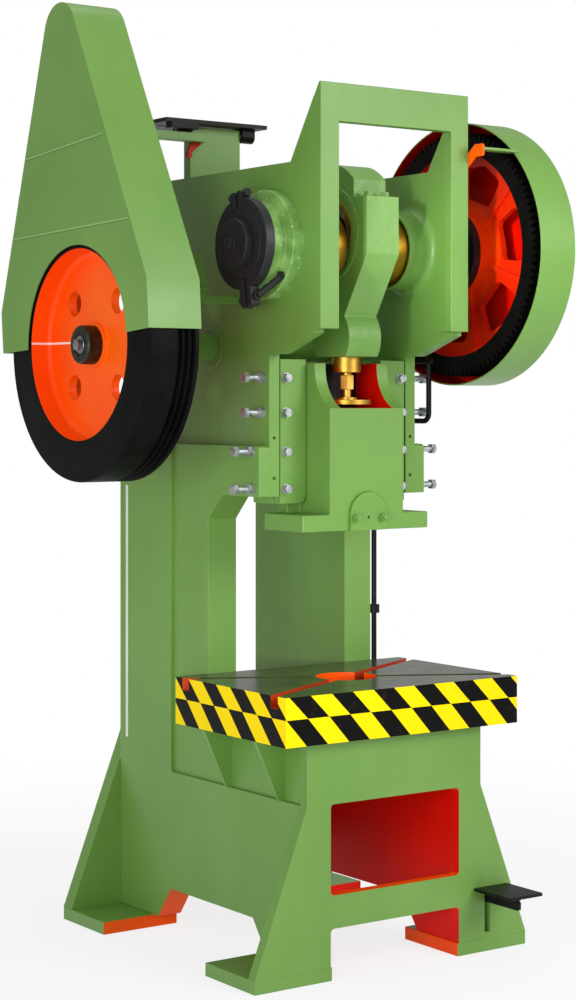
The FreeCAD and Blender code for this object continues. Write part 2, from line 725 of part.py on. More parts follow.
def crank_housing():
    # Boss that flares out where it meets the inside of the frame, and a flange and neck outside.
    corners = [
        (HOUSING_INNER_X, CRANK_BUSH_R),
        (HOUSING_INNER_X, HOUSING_INNER_R, HOUSING_EDGE_R),
        (MAIN_X, HOUSING_INNER_R, HOUSING_FLARE_R),
        (MAIN_X, HOUSING_INNER_R + HOUSING_FLARE_R),
        (MAIN_X, HOUSING_INNER_R),
        (OUTER_X, HOUSING_INNER_R),
        (OUTER_X, HOUSING_FLANGE_R),
        (OUTER_X + OUTER_PLATE_T, HOUSING_FLANGE_R, HOUSING_EDGE_R),
        (OUTER_X + OUTER_PLATE_T, HOUSING_NECK_R, HOUSING_EDGE_R),
        (HOUSING_END_X, HOUSING_NECK_R, HOUSING_EDGE_R),
        (HOUSING_END_X, CRANK_BUSH_R),
    ]
    housing = turned(0, CRANK_Z, corners)
    depth = HOUSING_BORE_MOUTH_R - CRANK_BUSH_R
    return housing.cut(
        turned(
            0,
            CRANK_Z,
            [
                (HOUSING_INNER_X, CRANK_BUSH_R),
                (HOUSING_INNER_X, HOUSING_BORE_MOUTH_R),
                (HOUSING_INNER_X + depth, CRANK_BUSH_R),
            ],
        )
    )


def bearing_bushes():
    crank_bush = tube(
        "x", CRANK_BUSH_INNER_X, HOUSING_END_X, 0, CRANK_Z, CRANK_BUSH_R, CRANK_BUSH_INNER_R
    )
    back_bush = tube(
        "x",
        BACK_HOUSING_INNER_X,
        OUTER_X + BACK_HOUSING_PROUD,
        BACK_SHAFT_Y,
        BACK_SHAFT_Z,
        BACK_BUSH_R,
        BACK_SHAFT_R + RUNNING_FIT,
    )
    return Part.makeCompound([crank_bush, mirrored(crank_bush), back_bush, mirrored(back_bush)])


def back_shaft_housings():
    # Bosses through the side frames, mostly on the inside.
    end_x = OUTER_X + BACK_HOUSING_PROUD
    corners = [
        (BACK_HOUSING_INNER_X, BACK_BUSH_R),
        (BACK_HOUSING_INNER_X, BACK_HOUSING_R, EDGE_R),
        (end_x, BACK_HOUSING_R, EDGE_R),
        (end_x, BACK_BUSH_R),
    ]
    boss = turned(BACK_SHAFT_Y, BACK_SHAFT_Z, corners)
    return Part.makeCompound([boss, mirrored(boss)])


# ---- slide guides ----
def gib_cover():
    corners = [
        (GIB_COVER_INNER_X, GIB_FOOT_Z, GIB_CORNER_R),
        (MAIN_X, GIB_FOOT_Z),
        (MAIN_X, GIB_TOP_Z),
        (GIB_COVER_INNER_X, GIB_TOP_Z),
    ]
    return prism("y", GIB_PLANE_Y, GIB_SPLIT_Y, corners)


def gib_block():
    # L-shaped guide behind the cover: beside the slide's wing and round its back.
    rear_y = GIB_BACK_Y + SLIDE_HALF_DEPTH - WING_FRONT_Y
    corners = [
        (GIB_SIDE_X, GIB_SPLIT_Y),
        (MAIN_X, GIB_SPLIT_Y),
        (MAIN_X, rear_y),
        (GIB_COVER_INNER_X, rear_y),
        (GIB_COVER_INNER_X, GIB_BACK_Y),
        (GIB_SIDE_X, GIB_BACK_Y),
    ]
    return prism("z", GIB_FOOT_Z, GIB_TOP_Z, corners)


def gib_cover_bolts():
    bolts = []
    for rise in GIB_BOLT_RISES:
        z = GIB_FOOT_Z + rise
        washer = round_bar("y", GIB_PLANE_Y - WASHER_T, GIB_PLANE_Y, GIB_BOLT_X, z, GIB_WASHER_R)
        head_y = GIB_PLANE_Y - WASHER_T
        head = hexagon("y", head_y - GIB_BOLT_HEAD_T, head_y, GIB_BOLT_X, z, GIB_BOLT_ACROSS)
        bolt = joined([washer, head])
        bolts += [bolt, mirrored(bolt)]
    return Part.makeCompound(bolts)


def gib_adjusting_bolts():
    # Set screws through the side frames, each with a lock nut, pushing the guides sideways.
    screws = []
    y = ADJUST_BOLT_Y
    for rise in GIB_BOLT_RISES:
        z = GIB_FOOT_Z + rise
        face_x = CHEEK_X if z < LEDGE_Z else OUTER_X
        nut_x = face_x + WASHER_T
        tip_x = face_x + ADJUST_BOLT_LENGTH
        washer = round_bar("x", face_x, nut_x, y, z, WASHER_R)
        nut = hexagon("x", nut_x, nut_x + ADJUST_NUT_T, y, z, ADJUST_BOLT_ACROSS)
        shank = round_bar("x", face_x, tip_x, y, z, ADJUST_BOLT_R)
        head = hexagon("x", tip_x, tip_x + ADJUST_NUT_T, y, z, ADJUST_BOLT_ACROSS)
        screw = joined([washer, nut, shank, head])
        screws += [screw, mirrored(screw)]
    return Part.makeCompound(screws)


# ---- slide ----
def slide_side_profile():
    # Side walls above the solid part, with a concave sweep from the front ledge to the narrow top.
    top_y = SLIDE_TOP_FRONT_Y
    start = Vector(0, -SLIDE_HALF_DEPTH, POCKET_FLOOR_Z)
    end = Vector(0, top_y, SLIDE_TOP_Z)
    chord = end - start
    middle = start + chord * 0.5
    sag = SLIDE_SWEEP_R - math.sqrt(SLIDE_SWEEP_R ** 2 - (chord.Length / 2) ** 2)
    across = Vector(0, chord.z, -chord.y).normalize()
    arc = Part.Arc(start, middle + across * sag, end).toShape()
    rear_top = Vector(0, SLIDE_HALF_DEPTH, SLIDE_TOP_Z)
    rear_foot = Vector(0, SLIDE_HALF_DEPTH, SLIDE_FACE_Z)
    front_foot = Vector(0, -SLIDE_HALF_DEPTH, SLIDE_FACE_Z)
    lines = [(end, rear_top), (rear_top, rear_foot), (rear_foot, front_foot), (front_foot, start)]
    return Part.Wire([arc] + [Part.LineSegment(a, b).toShape() for a, b in lines])


def shank_clamp():
    # Arched clamp over the front half of the shank bore, with a set screw's hole in its middle.
    front_y = -SLIDE_HALF_DEPTH - CLAMP_PROUD
    screw = round_bar("y", front_y, 0, 0, SLIDE_FACE_Z + CLAMP_STUD_RISE, CLAMP_SCREW_R)
    return clamp_body().cut([shank_bore(), screw])


def clamp_body():
    front_y = -SLIDE_HALF_DEPTH - CLAMP_PROUD
    centre_z = SLIDE_FACE_Z + CLAMP_CENTRE_RISE
    skirt = block(-CLAMP_R, CLAMP_R, front_y, 0, SLIDE_FACE_Z, centre_z)
    arch = round_bar("y", front_y, 0, 0, centre_z, CLAMP_R)
    return joined([skirt, arch.cut(block(-CLAMP_R, CLAMP_R, front_y, 0, centre_z - CLAMP_R, centre_z))])


def shank_bore():
    return round_bar("z", SLIDE_FACE_Z, SLIDE_FACE_Z + SHANK_BORE_DEPTH, 0, 0, SHANK_BORE_R)


def slide():
    body = Part.Face(slide_side_profile()).extrude(Vector(2 * SLIDE_HALF_WIDTH, 0, 0))
    body.translate(Vector(-SLIDE_HALF_WIDTH, 0, 0))
    foot = SLIDE_FLANGE_HALF_WIDTH
    depth = SLIDE_HALF_DEPTH
    corners = [
        (-foot, -depth, SLIDE_CORNER_R),
        (foot, -depth, SLIDE_CORNER_R),
        (foot, depth, SLIDE_CORNER_R),
        (-foot, depth, SLIDE_CORNER_R),
    ]
    flange = prism("z", SLIDE_FACE_Z, SLIDE_FACE_Z + SLIDE_FLANGE_T, corners)
    wings = block(-WING_HALF_WIDTH, WING_HALF_WIDTH, WING_FRONT_Y, depth, SLIDE_FACE_Z, SLIDE_TOP_Z)
    pocket = block(
        -SLIDE_POCKET_HALF_WIDTH,
        SLIDE_POCKET_HALF_WIDTH,
        -depth - OVERCUT,
        SLIDE_POCKET_BACK_Y,
        POCKET_FLOOR_Z,
        SLIDE_TOP_Z + OVERCUT,
    )
    return joined([body, flange, wings]).cut([pocket, clamp_body(), shank_bore()])


def clamp_studs():
    z = SLIDE_FACE_Z + CLAMP_STUD_RISE
    face_y = -SLIDE_HALF_DEPTH - CLAMP_PROUD
    nut = hexagon("y", face_y - ADJUST_NUT_T, face_y, CLAMP_STUD_X, z, GIB_BOLT_ACROSS)
    stud = round_bar("y", face_y - ADJUST_NUT_T - THREAD_END, face_y, CLAMP_STUD_X, z, GIB_BOLT_R)
    fastener = joined([nut, stud])
    return Part.makeCompound([fastener, mirrored(fastener)])


# ---- connecting rod ----
def rod_body():
    half = ROD_HALF_WIDTH
    shoulder_z = CRANKPIN_Z - ROD_SHOULDER_DROP
    waist_z = CRANKPIN_Z - ROD_WAIST_DROP
    foot_z = ROD_FOOT_Z
    corners = [
        (-ROD_SHOULDER_HALF, CRANKPIN_Z),
        (-ROD_SHOULDER_HALF, shoulder_z, ROD_CORNER_R),
        (-ROD_WAIST_HALF, waist_z, ROD_CORNER_R),
        (-ROD_WAIST_HALF, foot_z + ROD_BULB_FLAT),
        (ROD_WAIST_HALF, foot_z + ROD_BULB_FLAT),
        (ROD_WAIST_HALF, waist_z, ROD_CORNER_R),
        (ROD_SHOULDER_HALF, shoulder_z, ROD_CORNER_R),
        (ROD_SHOULDER_HALF, CRANKPIN_Z),
    ]
    shank = prism("x", -half, half, corners)
    bulb = round_bar("x", -half, half, 0, foot_z + ROD_BULB_FLAT, ROD_BULB_R)
    below = block(-half, half, -ROD_BULB_R, ROD_BULB_R, foot_z - ROD_BULB_R, foot_z)
    ring = half_ring_bosses(-1)
    body = joined([shank, bulb.cut(below)] + ring)
    return body.cut(rod_bore())


def rod_bore():
    half = ROD_HALF_WIDTH + RING_BOSS_PROUD
    return round_bar("x", -half, half, 0, CRANKPIN_Z, ROD_BORE_R)


def half_ring_bosses(side):
    # Raised ring round the crankpin bore on both faces, the half above (+1) or below (-1) the split.
    rings = []
    reach = RING_BOSS_R
    z0 = CRANKPIN_Z if side > 0 else CRANKPIN_Z - reach
    for x in (-ROD_HALF_WIDTH - RING_BOSS_PROUD, ROD_HALF_WIDTH):
        ring = tube("x", x, x + RING_BOSS_PROUD, 0, CRANKPIN_Z, RING_BOSS_R, RING_BOSS_INNER_R)
        rings.append(ring.common(block(x, x + RING_BOSS_PROUD, -reach, reach, z0, z0 + reach)))
    return rings


def rod_cap():
    half = ROD_HALF_WIDTH
    ledge_z = CRANKPIN_Z + CAP_LEDGE_RISE
    step_z = CRANKPIN_Z + CAP_STEP_RISE
    top_z = CRANKPIN_Z + CAP_TOP_RISE
    base = block(-half, half, -ROD_SHOULDER_HALF, ROD_SHOULDER_HALF, CRANKPIN_Z, ledge_z)
    step = CAP_STEP_HALF
    left = Vector(-half, -step, step_z)
    right = Vector(-half, step, step_z)
    arc = Part.Arc(left, Vector(-half, 0, top_z), right).toShape()
    feet = [right, Vector(-half, step, ledge_z), Vector(-half, -step, ledge_z), left]
    sides = [Part.LineSegment(feet[i], feet[i + 1]).toShape() for i in range(3)]
    dome = Part.Face(Part.Wire([arc] + sides)).extrude(Vector(2 * half, 0, 0))
    cap = joined([base, dome] + half_ring_bosses(1))
    return cap.cut(rod_bore())


def cap_bolts():
    bolts = []
    washer_z = CRANKPIN_Z + CAP_LEDGE_RISE
    head_z = washer_z + WASHER_T
    for y in (-CAP_BOLT_Y, CAP_BOLT_Y):
        washer = round_bar("z", washer_z, head_z, CAP_BOLT_X, y, CAP_BOLT_ACROSS / 2 + WASHER_T)
        head = hexagon("z", head_z, head_z + CAP_BOLT_HEAD_T, CAP_BOLT_X, y, CAP_BOLT_ACROSS)
        bolt = joined([washer, head])
        bolts += [bolt, mirrored(bolt)]
    return Part.makeCompound(bolts)


def rod_bush():
    return tube("x", -ROD_HALF_WIDTH, ROD_HALF_WIDTH, 0, CRANKPIN_Z, ROD_BORE_R, ROD_BUSH_INNER_R)


def ball_screw():
    disc = round_bar("z", BALL_Z, NECK_Z, 0, 0, BALL_DISC_R)
    step = round_bar("z", NECK_Z, NECK_Z + DISC_STEP_T, 0, 0, DISC_STEP_R)
    neck = round_bar("z", NECK_Z, HEX_Z, 0, 0, NECK_R)
    grip = hexagon("z", HEX_Z, TOP_NECK_Z, 0, 0, HEX_ACROSS)
    top_neck = round_bar("z", TOP_NECK_Z, LOCK_RING_Z, 0, 0, TOP_NECK_R)
    return joined([disc, step, neck, grip, top_neck])


def lock_ring():
    return round_bar("z", LOCK_RING_Z, ROD_FOOT_Z, 0, 0, LOCK_RING_R)


# ---- crankshaft ----
def crankshaft():
    web_x = ROD_HALF_WIDTH + RING_BOSS_PROUD + CRANKPIN_END_GAP
    corners = [
        (-BRAKE_OUTER_X, 0),
        (-BRAKE_OUTER_X, CRANK_NOSE_R),
        (-BRAKE_INNER_X, CRANK_NOSE_R),
        (-BRAKE_INNER_X, JOURNAL_R),
        (-web_x, JOURNAL_R),
        (-web_x, 0),
    ]
    left = turned(0, CRANK_Z, corners)
    corners = [
        (web_x, 0),
        (web_x, JOURNAL_R),
        (HOUSING_END_X + CLUTCH_GAP, JOURNAL_R),
        (HOUSING_END_X + CLUTCH_GAP, GEAR_SHAFT_R),
        (GEAR_OUTER_X + CLUTCH_GAP, GEAR_SHAFT_R),
        (GEAR_OUTER_X + CLUTCH_GAP, 0),
    ]
    right = turned(0, CRANK_Z, corners)
    pin = round_bar("x", -web_x, web_x, 0, CRANKPIN_Z, CRANKPIN_R)
    return joined([left, right, pin])


def clutch_disc():
    return tube("x", CLUTCH_INNER_X, CLUTCH_OUTER_X, 0, CRANK_Z, CLUTCH_R, GEAR_SHAFT_R)


def brake_drum():
    # Drum on the crank's nose, and the plate bolted over its end.
    drum = tube("x", -BRAKE_OUTER_X, -BRAKE_INNER_X, 0, CRANK_Z, BRAKE_DRUM_R, CRANK_NOSE_R)
    start = -BRAKE_OUTER_X - END_PLATE_PROUD
    plate = tube("x", start, -BRAKE_OUTER_X, 0, CRANK_Z, END_PLATE_R, END_CENTRE_R)
    return Part.makeCompound([drum, plate])


# ---- brake ----
def brake_shoe(side):
    # Half of the split clamp ring, in front of the split (-1) or behind it (+1), with a lug at each end.
    x0 = -BRAKE_OUTER_X
    x1 = -BRAKE_INNER_X
    ring = tube("x", x0, x1, 0, 0, BRAKE_R, BRAKE_SHOE_R)
    gap = BRAKE_SPLIT / 2
    lugs = []
    for direction, reach in ((1, BRAKE_TOP_LUG_REACH), (-1, BRAKE_LOW_LUG_REACH)):
        z_end = direction * (BRAKE_R + reach)
        z_root = direction * (BRAKE_SHOE_R + BRAKE_SHOE_T / 2)
        y_end = side * (gap + BRAKE_LUG_T)
        y_root = side * gap
        lug = [(y_root, z_root), (y_end, z_root), (y_end, z_end, BRAKE_LUG_CORNER_R), (y_root, z_end)]
        lugs.append(prism("x", x0, x1, lug))
    half = [
        (side * gap, -BRAKE_R),
        (side * BRAKE_R, -BRAKE_R),
        (side * BRAKE_R, BRAKE_R),
        (side * gap, BRAKE_R),
    ]
    shoe = joined([ring.common(prism("x", x0, x1, half))] + lugs)
    shoe = shoe.cut(round_bar("x", x0, x1, 0, 0, BRAKE_SHOE_R))
    shoe.rotate(Vector(0, 0, 0), Vector(1, 0, 0), -BRAKE_SPLIT_ANGLE)
    shoe.translate(Vector(0, 0, CRANK_Z))
    return shoe


def brake_fasteners():
    # Clamp bolts across both ends of the split, and the sloping anchor rod to the bearing housing.
    middle_x = -(BRAKE_OUTER_X + BRAKE_INNER_X) / 2
    outer = BRAKE_SPLIT / 2 + BRAKE_LUG_T
    head = outer + ADJUST_NUT_T
    low_z = -BRAKE_R - BRAKE_LOW_LUG_REACH / 2
    bolts = []
    for z in (low_z, BRAKE_R + BRAKE_TOP_LUG_REACH / 2):
        front = hexagon("y", -head, -outer, middle_x, z, BRAKE_BOLT_ACROSS)
        rear = hexagon("y", outer, head, middle_x, z, BRAKE_BOLT_ACROSS)
        tip = round_bar("y", outer, head + THREAD_END, middle_x, z, BRAKE_BOLT_R)
        bolts += [front, joined([rear, tip])]
    anchor_start = Part.Vertex(middle_x, -head, low_z)
    for shape in bolts + [anchor_start]:
        shape.rotate(Vector(0, 0, 0), Vector(1, 0, 0), -BRAKE_SPLIT_ANGLE)
        shape.translate(Vector(0, 0, CRANK_Z))
    anchored = joined([bolts[0], anchor_rod(anchor_start.Point)])
    return Part.makeCompound([anchored] + bolts[1:])


def anchor_rod(start):
    # From the lower clamp bolt to a round foot on the flange of the bearing housing.
    foot_r = HOUSING_NECK_R + HOUSING_EDGE_R + ANCHOR_HEAD_R + RUNNING_FIT
    angle = math.radians(ANCHOR_ANGLE)
    y = foot_r * math.cos(angle)
    z = CRANK_Z + foot_r * math.sin(angle)
    flange_x = -OUTER_X - OUTER_PLATE_T
    end = Vector(flange_x, y, z)
    rod = Part.makeCylinder(ANCHOR_ROD_R, (end - start).Length, start, end - start)
    foot = round_bar("x", flange_x - ANCHOR_ROD_R, flange_x, y, z, ANCHOR_HEAD_R)
    beyond = round_bar("x", flange_x, flange_x + ANCHOR_HEAD_R, y, z, 2 * ANCHOR_HEAD_R)
    return joined([rod.cut(beyond), foot])


# ---- gears ----
def involute_gear(teeth, width, x0, flank_steps):
    # Spur gear about an X axis through the origin with the middle of a tooth along +Y.
    pitch_r = MODULE * teeth / 2
    base_r = pitch_r * math.cos(math.radians(PRESSURE_ANGLE))
    tip_r = pitch_r + MODULE
    root_r = pitch_r - DEDENDUM

    def involute(radius):
        cosine = min(1.0, base_r / radius)
        return math.tan(math.acos(cosine)) - math.acos(cosine)

    half_tooth = math.pi / (2 * teeth) - TOOTH_BACKLASH / 2 / pitch_r
    start_r = max(base_r, root_r)
    points = []
    for tooth in range(teeth):
        middle = 2 * math.pi * tooth / teeth
        flank = []
        if root_r < start_r:
            flank.append((root_r, half_tooth + involute(pitch_r)))
        for step in range(flank_steps + 1):
            radius = start_r + (tip_r - start_r) * step / flank_steps
            flank.append((radius, half_tooth + involute(pitch_r) - involute(radius)))
        for radius, half in flank:
            points.append((radius, middle - half))
        for radius, half in reversed(flank):
            points.append((radius, middle + half))
    corners = [(radius * math.cos(angle), radius * math.sin(angle)) for radius, angle in points]
    return prism("x", x0, x0 + width, corners)


def gear_window(middle):
    # Kidney-shaped opening in the web, with rounded corners, centred on an angle.
    half = math.radians(GEAR_WINDOW_HALF_ANGLE)
    corners = []
    for radius, angle in (
        (GEAR_WINDOW_INNER_R, middle - half),
        (GEAR_WINDOW_OUTER_R, middle - half),
        (GEAR_WINDOW_OUTER_R / math.cos(half), middle),
        (GEAR_WINDOW_OUTER_R, middle + half),
        (GEAR_WINDOW_INNER_R, middle + half),
    ):
        corners.append((radius * math.cos(angle), radius * math.sin(angle), GEAR_WINDOW_CORNER_R))
    return prism("x", GEAR_INNER_X, GEAR_OUTER_X, corners)


def bull_gear():
    gear = involute_gear(BULL_TEETH, GEAR_WIDTH, GEAR_INNER_X, 1)
    rim_half = (GEAR_WIDTH - GEAR_WEB_T) / 2
    for x0, x1, inner_r in (
        (GEAR_INNER_X, GEAR_INNER_X + rim_half, GEAR_HUB_R),
        (GEAR_OUTER_X - rim_half, GEAR_OUTER_X, GEAR_HUB_R),
    ):
        gear = gear.cut(tube("x", x0, x1, 0, 0, GEAR_RIM_INNER_R, inner_r))
    rib_x = GEAR_INNER_X + GEAR_WEB_RECESS
    web_x = GEAR_INNER_X + rim_half
    for index in range(GEAR_WINDOWS):
        angle = 2 * math.pi * (index + 0.5) / GEAR_WINDOWS
        gear = gear.cut(gear_window(angle))
    rib_start = GEAR_HUB_R - GEAR_RIB_BITE
    rib_end = GEAR_RIM_INNER_R + GEAR_RIB_BITE
    ribs = []
    for index in range(GEAR_WINDOWS):
        rib = block(rib_x, web_x, rib_start, rib_end, -GEAR_RIB_T / 2, GEAR_RIB_T / 2)
        rib.rotate(Vector(0, 0, 0), Vector(1, 0, 0), 360.0 * index / GEAR_WINDOWS)
        ribs.append(rib)
    gear = joined([gear] + ribs)
    gear = gear.cut(round_bar("x", GEAR_INNER_X, GEAR_OUTER_X, 0, 0, GEAR_SHAFT_R + RUNNING_FIT))
    gear.rotate(Vector(0, 0, 0), Vector(1, 0, 0), MESH_ANGLE)
    gear.translate(Vector(0, 0, CRANK_Z))
    return gear


def pinion():
    # A gap of the pinion faces the bull gear's tooth on the line of centres.
    gear = involute_gear(PINION_TEETH, GEAR_WIDTH, GEAR_INNER_X, 4)
    gear = gear.cut(round_bar("x", GEAR_INNER_X, GEAR_OUTER_X, 0, 0, BACK_SHAFT_R))
    gap_turn = 180 - 180 / PINION_TEETH
    gear.rotate(Vector(0, 0, 0), Vector(1, 0, 0), MESH_ANGLE + gap_turn)
    gear.translate(Vector(0, BACK_SHAFT_Y, BACK_SHAFT_Z))
    return gear


# ---- flywheel and back shaft ----
def flywheel():
    groove_start = FLYWHEEL_INNER_X + BELT_GROOVE_PITCH
    corners = [
        (-HUB_OUTER_X, BACK_SHAFT_R),
        (-HUB_OUTER_X, FLYWHEEL_HUB_R, EDGE_R),
        (-WEB_OUTER_X, FLYWHEEL_HUB_R, FLYWHEEL_HUB_FILLET_R),
        (-WEB_OUTER_X, FLYWHEEL_RIM_INNER_R - FLYWHEEL_RIM_TAPER, FLYWHEEL_FILLET_R),
        (-FLYWHEEL_OUTER_X, FLYWHEEL_RIM_INNER_R),
        (-FLYWHEEL_OUTER_X, FLYWHEEL_R, FLYWHEEL_EDGE_R),
    ]
    top_half = BELT_GROOVE_TOP / 2
    bottom_half = BELT_GROOVE_BOTTOM / 2
    for groove in reversed(range(BELT_GROOVES)):
        x = -(groove_start + BELT_GROOVE_PITCH * groove)
        corners += [
            (x - top_half, FLYWHEEL_R),
            (x - bottom_half, FLYWHEEL_R - BELT_GROOVE_DEPTH),
            (x + bottom_half, FLYWHEEL_R - BELT_GROOVE_DEPTH),
            (x + top_half, FLYWHEEL_R),
        ]
    corners += [
        (-FLYWHEEL_INNER_X, FLYWHEEL_R),
        (-FLYWHEEL_INNER_X, FLYWHEEL_RIM_INNER_R),
        (-WEB_INNER_X, FLYWHEEL_RIM_INNER_R - FLYWHEEL_RIM_TAPER, FLYWHEEL_FILLET_R),
        (-WEB_INNER_X, FLYWHEEL_HUB_R, FLYWHEEL_HUB_FILLET_R),
        (-HUB_INNER_X, FLYWHEEL_HUB_R),
        (-HUB_INNER_X, BACK_SHAFT_R),
    ]
    wheel = turned(BACK_SHAFT_Y, BACK_SHAFT_Z, corners)
    holes = []
    for index in range(FLYWHEEL_HOLES):
        angle = 2 * math.pi * (index + 0.5) / FLYWHEEL_HOLES
        y = BACK_SHAFT_Y + FLYWHEEL_HOLE_CIRCLE_R * math.cos(angle)
        z = BACK_SHAFT_Z + FLYWHEEL_HOLE_CIRCLE_R * math.sin(angle)
        holes.append(round_bar("x", -FLYWHEEL_OUTER_X, -FLYWHEEL_INNER_X, y, z, FLYWHEEL_HOLE_R))
    return wheel.cut(holes)


def back_shaft():
    return round_bar("x", -HUB_OUTER_X, GEAR_OUTER_X + CLUTCH_GAP, BACK_SHAFT_Y, BACK_SHAFT_Z, BACK_SHAFT_R)


def shaft_collar():
    # Retaining washer and bolt on the flywheel end of the back shaft.
    outer_x = HUB_OUTER_X + COLLAR_T
    collar = turned(
        BACK_SHAFT_Y,
        BACK_SHAFT_Z,
        [(-outer_x, 0), (-outer_x, COLLAR_R, EDGE_R), (-HUB_OUTER_X, COLLAR_R), (-HUB_OUTER_X, 0)],
    )
    head = hexagon("x", -outer_x - WASHER_T, -outer_x, BACK_SHAFT_Y, BACK_SHAFT_Z, 2 * END_BOLT_R)
    return joined([collar, head])


# ---- guards ----
def guard_point(across, up):
    # Point in the guard's own leaning frame: across the lean and up along it, from its big circle's centre.
    lean = math.radians(GUARD_LEAN)
    y = GUARD_Y + across * math.cos(lean) + up * math.sin(lean)
    z = BACK_SHAFT_Z - across * math.sin(lean) + up * math.cos(lean)
    return y, z


def guard_outline(x, inset):
    # Straight foot, upright lower sides, sloping sides above them and a small arc on top.
    side = GUARD_R - inset
    top_r = GUARD_TOP_R - inset
    run = GUARD_RISE - GUARD_CORNER_UP
    reach = math.hypot(side, run)
    turn = math.atan2(side, run) - math.asin(top_r / reach)
    length = math.sqrt(reach ** 2 - top_r ** 2)
    shoulder = (side - length * math.sin(turn), GUARD_CORNER_UP + length * math.cos(turn))

    def spot(across, up):
        y, z = guard_point(across, up)
        return Vector(x, y, z)

    right = [spot(side, GUARD_REAR_FOOT_UP - inset), spot(side, GUARD_CORNER_UP), spot(*shoulder)]
    left_foot = spot(-side, GUARD_FRONT_FOOT_UP - inset)
    left = [spot(-shoulder[0], shoulder[1]), spot(-side, GUARD_CORNER_UP), left_foot]
    arc = Part.Arc(right[-1], spot(0, GUARD_RISE + top_r), left[0]).toShape()
    rising = [Part.LineSegment(right[i], right[i + 1]).toShape() for i in range(2)]
    falling = [Part.LineSegment(left[i], left[i + 1]).toShape() for i in range(2)]
    foot = Part.LineSegment(left[2], right[0]).toShape()
    return Part.Wire(rising + [arc] + falling + [foot])


def flywheel_guard():
    width = GUARD_OUTER_X - GUARD_INNER_X
    shell = Part.Face(guard_outline(-GUARD_OUTER_X, 0)).extrude(Vector(width, 0, 0))
    inside = guard_outline(-GUARD_OUTER_X + SHEET_T, SHEET_T)
    shell = shell.cut(Part.Face(inside).extrude(Vector(width, 0, 0)))
    window = round_bar(
        "x", -GUARD_OUTER_X, -GUARD_OUTER_X + SHEET_T, BACK_SHAFT_Y, BACK_SHAFT_Z, GUARD_WINDOW_R
    )
    return shell.cut(window)


def gear_guard():
    x0 = GEAR_GUARD_INNER_X
    x1 = GEAR_GUARD_OUTER_X
    drum = tube("x", x0, x1, 0, CRANK_Z, GEAR_GUARD_R, GEAR_GUARD_R - SHEET_T)
    plate = round_bar("x", x1 - SHEET_T, x1, 0, CRANK_Z, GEAR_GUARD_R)
    relief_r = PINION_PITCH_R + MODULE + PINION_CLEARANCE
    relief = round_bar("x", x0, x1 - SHEET_T, BACK_SHAFT_Y, BACK_SHAFT_Z, relief_r)
    return joined([drum.cut(relief), plate])


def guard_stays():
    # Flat bars that carry the gear guard and the flywheel guard.
    strut_y = -GEAR_GUARD_R * math.cos(math.radians(STAY_ANGLE))
    strut_z = CRANK_Z - strut_y
    half = STAY_WIDTH / 2
    root_y = WALL_FRONT_Y + STAY_WIDTH
    root_z = strut_z - STAY_DROP
    strut = prism(
        "x",
        OUTER_X,
        OUTER_X + STAY_T,
        [
            (strut_y - half, strut_z - half, STAY_CORNER_R),
            (strut_y + half, strut_z - half),
            (root_y + half, root_z),
            (root_y + half, root_z + STAY_WIDTH),
            (strut_y + half, strut_z + half, STAY_CORNER_R),
            (strut_y - half, strut_z + half, STAY_CORNER_R),
        ],
    )
    arm = block(
        OUTER_X + STAY_T, GEAR_GUARD_INNER_X, strut_y - half, strut_y + half, strut_z, strut_z + STAY_T
    )
    gear_stay = joined([strut, arm])
    low_y = HEAD_REAR_Y
    low_z = BACK_SHAFT_Z - half
    rim_y = GUARD_Y + GUARD_R
    rear_arm = block(-GUARD_INNER_X, -OUTER_X, low_y, low_y + STAY_T, low_z, low_z + STAY_WIDTH)
    rear_strip = block(
        -GUARD_INNER_X, -GUARD_INNER_X + STAY_T, low_y, rim_y, low_z, low_z + STAY_WIDTH
    )
    return Part.makeCompound([gear_stay, joined([rear_arm, rear_strip])])


def side_bracket():
    # Flat bar from the side frame to the flywheel guard, with a rounded upright plate and lip on it.
    y = SIDE_BRACKET_Y
    z = SIDE_BRACKET_Z
    bar_top = z + SIDE_BRACKET_T
    width, height = SIDE_BRACKET_PLATE
    right_x = SIDE_BRACKET_RIGHT_X
    left_x = right_x - width
    bar = block(-GUARD_INNER_X, -OUTER_X, y, y + STAY_WIDTH, z, bar_top)
    upright = prism(
        "y",
        y,
        y + STAY_T,
        [
            (left_x, bar_top),
            (right_x, bar_top),
            (right_x, bar_top + height, SIDE_BRACKET_CORNER_R),
            (left_x, bar_top + height),
        ],
    )
    lip_z = bar_top + SIDE_BRACKET_LIP_RISE
    lip = block(left_x, right_x + STAY_T, y - STAY_T, y + STAY_T, lip_z, lip_z + STAY_T)
    return joined([bar, upright, lip])


# ---- motor platform ----
def motor_panel():
    # Upright plate with a flange turned back along each side.
    top_z = PLATFORM_Z - PLATFORM_GAP
    web = block(PANEL_LEFT_X, PANEL_RIGHT_X, PANEL_Y, PANEL_Y + PANEL_T, HEAD_TOP_Z, top_z)
    rear_y = PANEL_Y + PANEL_FLANGE
    left = block(PANEL_LEFT_X, PANEL_LEFT_X + STAY_T, PANEL_Y, rear_y, HEAD_TOP_Z, top_z)
    right = block(PANEL_RIGHT_X - STAY_T, PANEL_RIGHT_X, PANEL_Y, rear_y, HEAD_TOP_Z, top_z)
    return joined([web, left, right])


def panel_angle():
    # Angle bar from the panel to the inside of the flywheel guard, its upright leg in front.
    foot_z = angle_foot_z()
    x0 = -GUARD_OUTER_X + SHEET_T
    x1 = PANEL_LEFT_X + STAY_WIDTH
    front_y = PANEL_Y - STAY_WIDTH
    leg = block(x0, x1, front_y, front_y + STAY_T, foot_z, foot_z + ANGLE_HEIGHT)
    flat = block(x0, x1, front_y, PANEL_Y, foot_z, foot_z + STAY_T)
    return joined([leg, flat])


def angle_foot_z():
    return HINGE_Z - HINGE_R - WASHER_T - STAY_T


